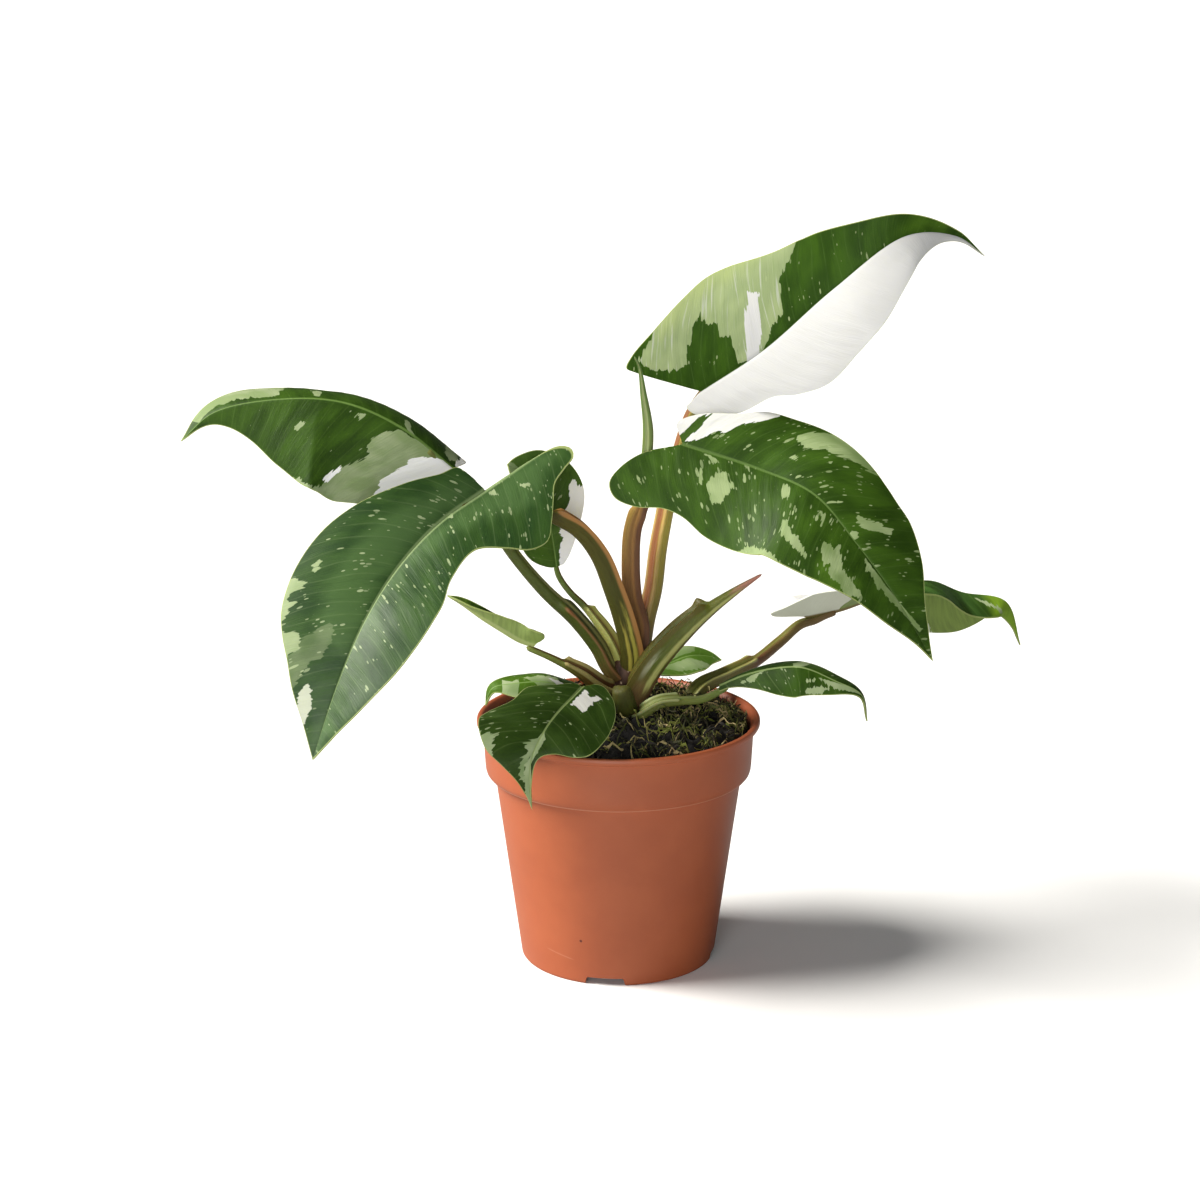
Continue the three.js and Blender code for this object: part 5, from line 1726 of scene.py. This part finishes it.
def make_soil():
    """One skin round the mix: rings over the mound, then down the pot's wall and over its floor."""
    start_clean()
    bpy.ops.mesh.primitive_grid_add(x_subdivisions=160, y_subdivisions=90, size=2)
    soil = bpy.context.object
    grid = corners(soil)
    turn = (grid[:, 0] + 1) * math.pi
    share = (grid[:, 1] + 1) / 2
    edge = inner_radius(SOIL_EDGE_HEIGHT - 2) - GAP
    bottom = FLOOR_UNDERSIDE + FLOOR_THICKNESS + GAP
    top = share <= 0.8
    radius = np.where(top, edge * share / 0.8, 0)
    x, y = radius * np.cos(turn), radius * np.sin(turn)
    height = soil_height(x, y) + crumbs(x, y) * ease(0, 3, edge - radius)
    low = (share - 0.8) / 0.2
    levels = [97, COLLAR_BOTTOM + 3, COLLAR_BOTTOM - 1, 8, bottom, bottom]
    walls = np.interp(low, [0, 0.25, 0.35, 0.8, 0.9, 1], levels)
    wall_radius = np.array([inner_radius(h) - GAP for h in walls])
    floor_radius = np.maximum(wall_radius - 2.2, 0) * np.interp(low, [0.9, 1], [1, 0])
    wall_radius = np.where(low > 0.85, floor_radius, wall_radius)
    radius = np.where(top, radius, wall_radius)
    height = np.where(top, height, walls)
    co = np.stack([radius * np.cos(turn), radius * np.sin(turn), height], 1)
    place_corners(soil, co * MM)
    merge_doubles(soil)
    face_outward(soil)
    smooth(soil, 70)
    hand_over(soil, "soil_mound", [soil_mix()], "soil")


make_soil()


# Moss: a few kinds of curled strand and short shoot, copied over the soil
MOSS_REACH = 54.6
MOSS_HEIGHT = 7.0
MOSS_SPREAD = 51.5
LONG_STRANDS = 520
TUFTS_ALL_OVER = 18
TUFTS_TRIED_ON_RIGHT = 90
RIGHT_SIDE = 16
TUFTS_AT_WALL = 70
SHOOTS_IN_TUFT = 12
TUFT_WIDTH = 1.8


def moss_colours():
    material, board, shader = new_material("moss_strands")
    place = board.add("ShaderNodeTexCoord").outputs["Object"]
    patch = board.noise(place, 60, 2, 0.5)
    value = board.stretch(patch, 0.5, board.stretch(board.attribute("tint"), 0.7, -0.15))
    dead, brown_green = (0.008, 0.006, 0.003), (0.03, 0.022, 0.008)
    dark, bright, straw = (0.045, 0.055, 0.008), (0.15, 0.17, 0.02), (0.40, 0.31, 0.14)
    stops = [(0.15, dead), (0.34, brown_green), (0.48, dark), (0.62, bright), (0.78, straw)]
    colour = board.ramp(value, stops)
    board.feed(shader.inputs["Base Color"], colour)
    shader.inputs["Roughness"].default_value = 0.8
    return material


def make_strand(draw, length, thickness, steps, curl):
    """One curled strand of three sides lying along X from the origin, in millimetres."""
    spine = [np.zeros(3)]
    heading = np.array([1.0, 0, 0.3])
    turn = draw.uniform(-curl, curl)
    for _ in range(steps):
        bend = [draw.uniform(-0.3, 0.3), turn + draw.uniform(-0.4, 0.4), draw.uniform(-0.5, 0.45)]
        heading = unit(heading + np.array(bend))
        spine.append(spine[-1] + heading * length / steps)
    spine = np.array(spine)
    start_clean()
    bpy.ops.mesh.primitive_grid_add(x_subdivisions=3, y_subdivisions=steps + 2, size=2)
    strand = bpy.context.object
    grid = corners(strand)
    row = np.rint((grid[:, 1] + 1) / 2 * (steps + 2)).astype(int)
    around = (grid[:, 0] + 1) * math.pi
    along = np.clip(row - 1, 0, steps)
    tangent = unit(np.gradient(spine, axis=0))
    side = unit(np.cross(tangent, [0.1, 0.2, 1.0]))
    up = np.cross(side, tangent)
    radius = thickness * (1 - 0.6 * (along / steps) ** 2) * ((row > 0) & (row < steps + 2))
    co = spine[along] + side[along] * (radius * np.cos(around))[:, None]
    co += up[along] * (radius * np.sin(around))[:, None]
    place_corners(strand, co * MM)
    merge_doubles(strand, 0.001 * MM)
    face_outward(strand)
    return strand


def strew(draw, kinds, places, lift):
    """Copies of the kinds, one at each place, turned at random and bent to lie on the soil."""
    copies = []
    for x, y in places:
        copy = draw.choice(kinds).copy()
        copy.data = copy.data.copy()
        bpy.context.scene.collection.objects.link(copy)
        turn, size = draw.uniform(0, 2 * math.pi), draw.uniform(0.7, 1.3)
        co = corners(copy) / MM * size
        c, s = math.cos(turn), math.sin(turn)
        east, north = x + co[:, 0] * c - co[:, 1] * s, y + co[:, 0] * s + co[:, 1] * c
        co = np.stack([east, north, co[:, 2]], 1)
        out = np.hypot(co[:, 0], co[:, 1])
        co[:, :2] *= np.minimum(1, MOSS_REACH / np.maximum(out, 1e-6))[:, None]
        ground = soil_height(co[:, 0], co[:, 1]) + crumbs(co[:, 0], co[:, 1])
        co[:, 2] = ground + np.clip(co[:, 2] * lift, -1.0, MOSS_HEIGHT) + 0.2
        place_corners(copy, co * MM)
        save_value(copy, "tint", np.full(len(co), draw.random()))
        copies.append(copy)
    return copies


def make_moss():
    draw = random.Random(31)

    def anywhere():
        angle, radius = draw.uniform(0, 2 * math.pi), MOSS_SPREAD * math.sqrt(draw.random())
        return radius * math.cos(angle), radius * math.sin(angle)

    def some_kinds(count, length, thickness, steps, curl):
        made = []
        for _ in range(count):
            size = draw.uniform(*length), draw.uniform(*thickness)
            made.append(make_strand(draw, *size, steps, curl))
        return made

    long_kinds = some_kinds(14, (9, 19), (0.16, 0.32), 10, 1.1)
    short_kinds = some_kinds(8, (3, 6), (0.2, 0.38), 3, 0.6)
    copies = strew(draw, long_kinds, [anywhere() for _ in range(LONG_STRANDS)], 1.7)
    tufts = [anywhere() for _ in range(TUFTS_ALL_OVER)]
    tried = [anywhere() for _ in range(TUFTS_TRIED_ON_RIGHT)]
    tufts += [(x, y) for x, y in tried if x > RIGHT_SIDE]
    for _ in range(TUFTS_AT_WALL):
        turn, radius = math.radians(draw.uniform(-50, 200)), draw.uniform(47, 54)
        tufts.append((radius * math.cos(turn), radius * math.sin(turn)))
    shoots = [tuft for tuft in tufts for _ in range(SHOOTS_IN_TUFT)]
    near = [(x + draw.gauss(0, TUFT_WIDTH), y + draw.gauss(0, TUFT_WIDTH)) for x, y in shoots]
    copies += strew(draw, short_kinds, near, 2.4)
    for kind in long_kinds + short_kinds:
        bpy.data.objects.remove(kind)
    start_clean()
    for copy in copies:
        copy.select_set(True)
    bpy.context.view_layer.objects.active = copies[0]
    bpy.ops.object.join()
    moss = bpy.context.object
    smooth(moss, 80)
    hand_over(moss, "moss", [moss_colours()])


make_moss()


# Stem
STEM_X = 3


def stem_bark():
    material, board, shader = new_material("stem_bark")
    place = board.add("ShaderNodeTexCoord").outputs["Object"]
    cloud = board.noise(board.scaled(place, (1, 1, 0.4)), 320, 3, 0.6)
    near, _ = board.cells(board.scaled(place, (1, 1, 0.7)), 420)
    dark, middle, light = (0.035, 0.016, 0.009), (0.11, 0.05, 0.028), (0.26, 0.15, 0.09)
    colour = board.ramp(cloud, [(0.3, dark), (0.6, middle), (0.85, light)])
    colour = board.mix(board.rest(board.step(near, 0.12, 0.22)), colour, (0.4, 0.3, 0.2))
    board.feed(shader.inputs["Base Color"], colour)
    shader.inputs["Roughness"].default_value = 0.7
    bump(board, shader, cloud, 0.0006, 0.7)
    return material


def make_stem():
    profile = [
        (0.5, 86), (4.4, 86), (5, 88), (6.6, 102), (6.7, 110), (6.3, 116), (5.5, 119), (5.4, 120.4),
        (5.8, 122.5), (5.9, 124.5), (5.3, 128), (4, 130.3), (0.5, 131),
    ]
    stem = turned(profile, 48)
    co = corners(stem)
    turn = np.arctan2(co[:, 1], co[:, 0])
    wobble = 1 + 0.04 * np.sin(3 * turn + co[:, 2] / MM * 0.2)
    wobble += 0.03 * np.sin(7 * turn - co[:, 2] / MM * 0.35)
    co[:, 0] = co[:, 0] * wobble + STEM_X * MM
    co[:, 1] *= wobble
    place_corners(stem, co)
    smooth(stem, 60)
    hand_over(stem, "plant_stem", [stem_bark()], "stem")


make_stem()


# Floor: white where it is seen, and dimmer in what it throws back on the plant
def make_floor():
    start_clean()
    bpy.ops.mesh.primitive_plane_add(size=80, location=(0, 20, 0))
    floor = bpy.context.object
    seat_in_place(floor)
    material, board, shader = new_material("pale_floor")
    place = board.add("ShaderNodeTexCoord").outputs["Object"]
    colour = board.mix(board.noise(place, 3, 2, 0.5), (0.95, 0.95, 0.95), (0.97, 0.97, 0.97))
    seen = board.add("ShaderNodeLightPath").outputs["Is Camera Ray"]
    colour = board.mix(seen, (0.42, 0.42, 0.42), colour)
    board.feed(shader.inputs["Base Color"], colour)
    shader.inputs["Roughness"].default_value = 0.9
    shader.inputs["Specular IOR Level"].default_value = 0.2
    floor.name = "floor"
    floor.data.materials.append(material)


make_floor()
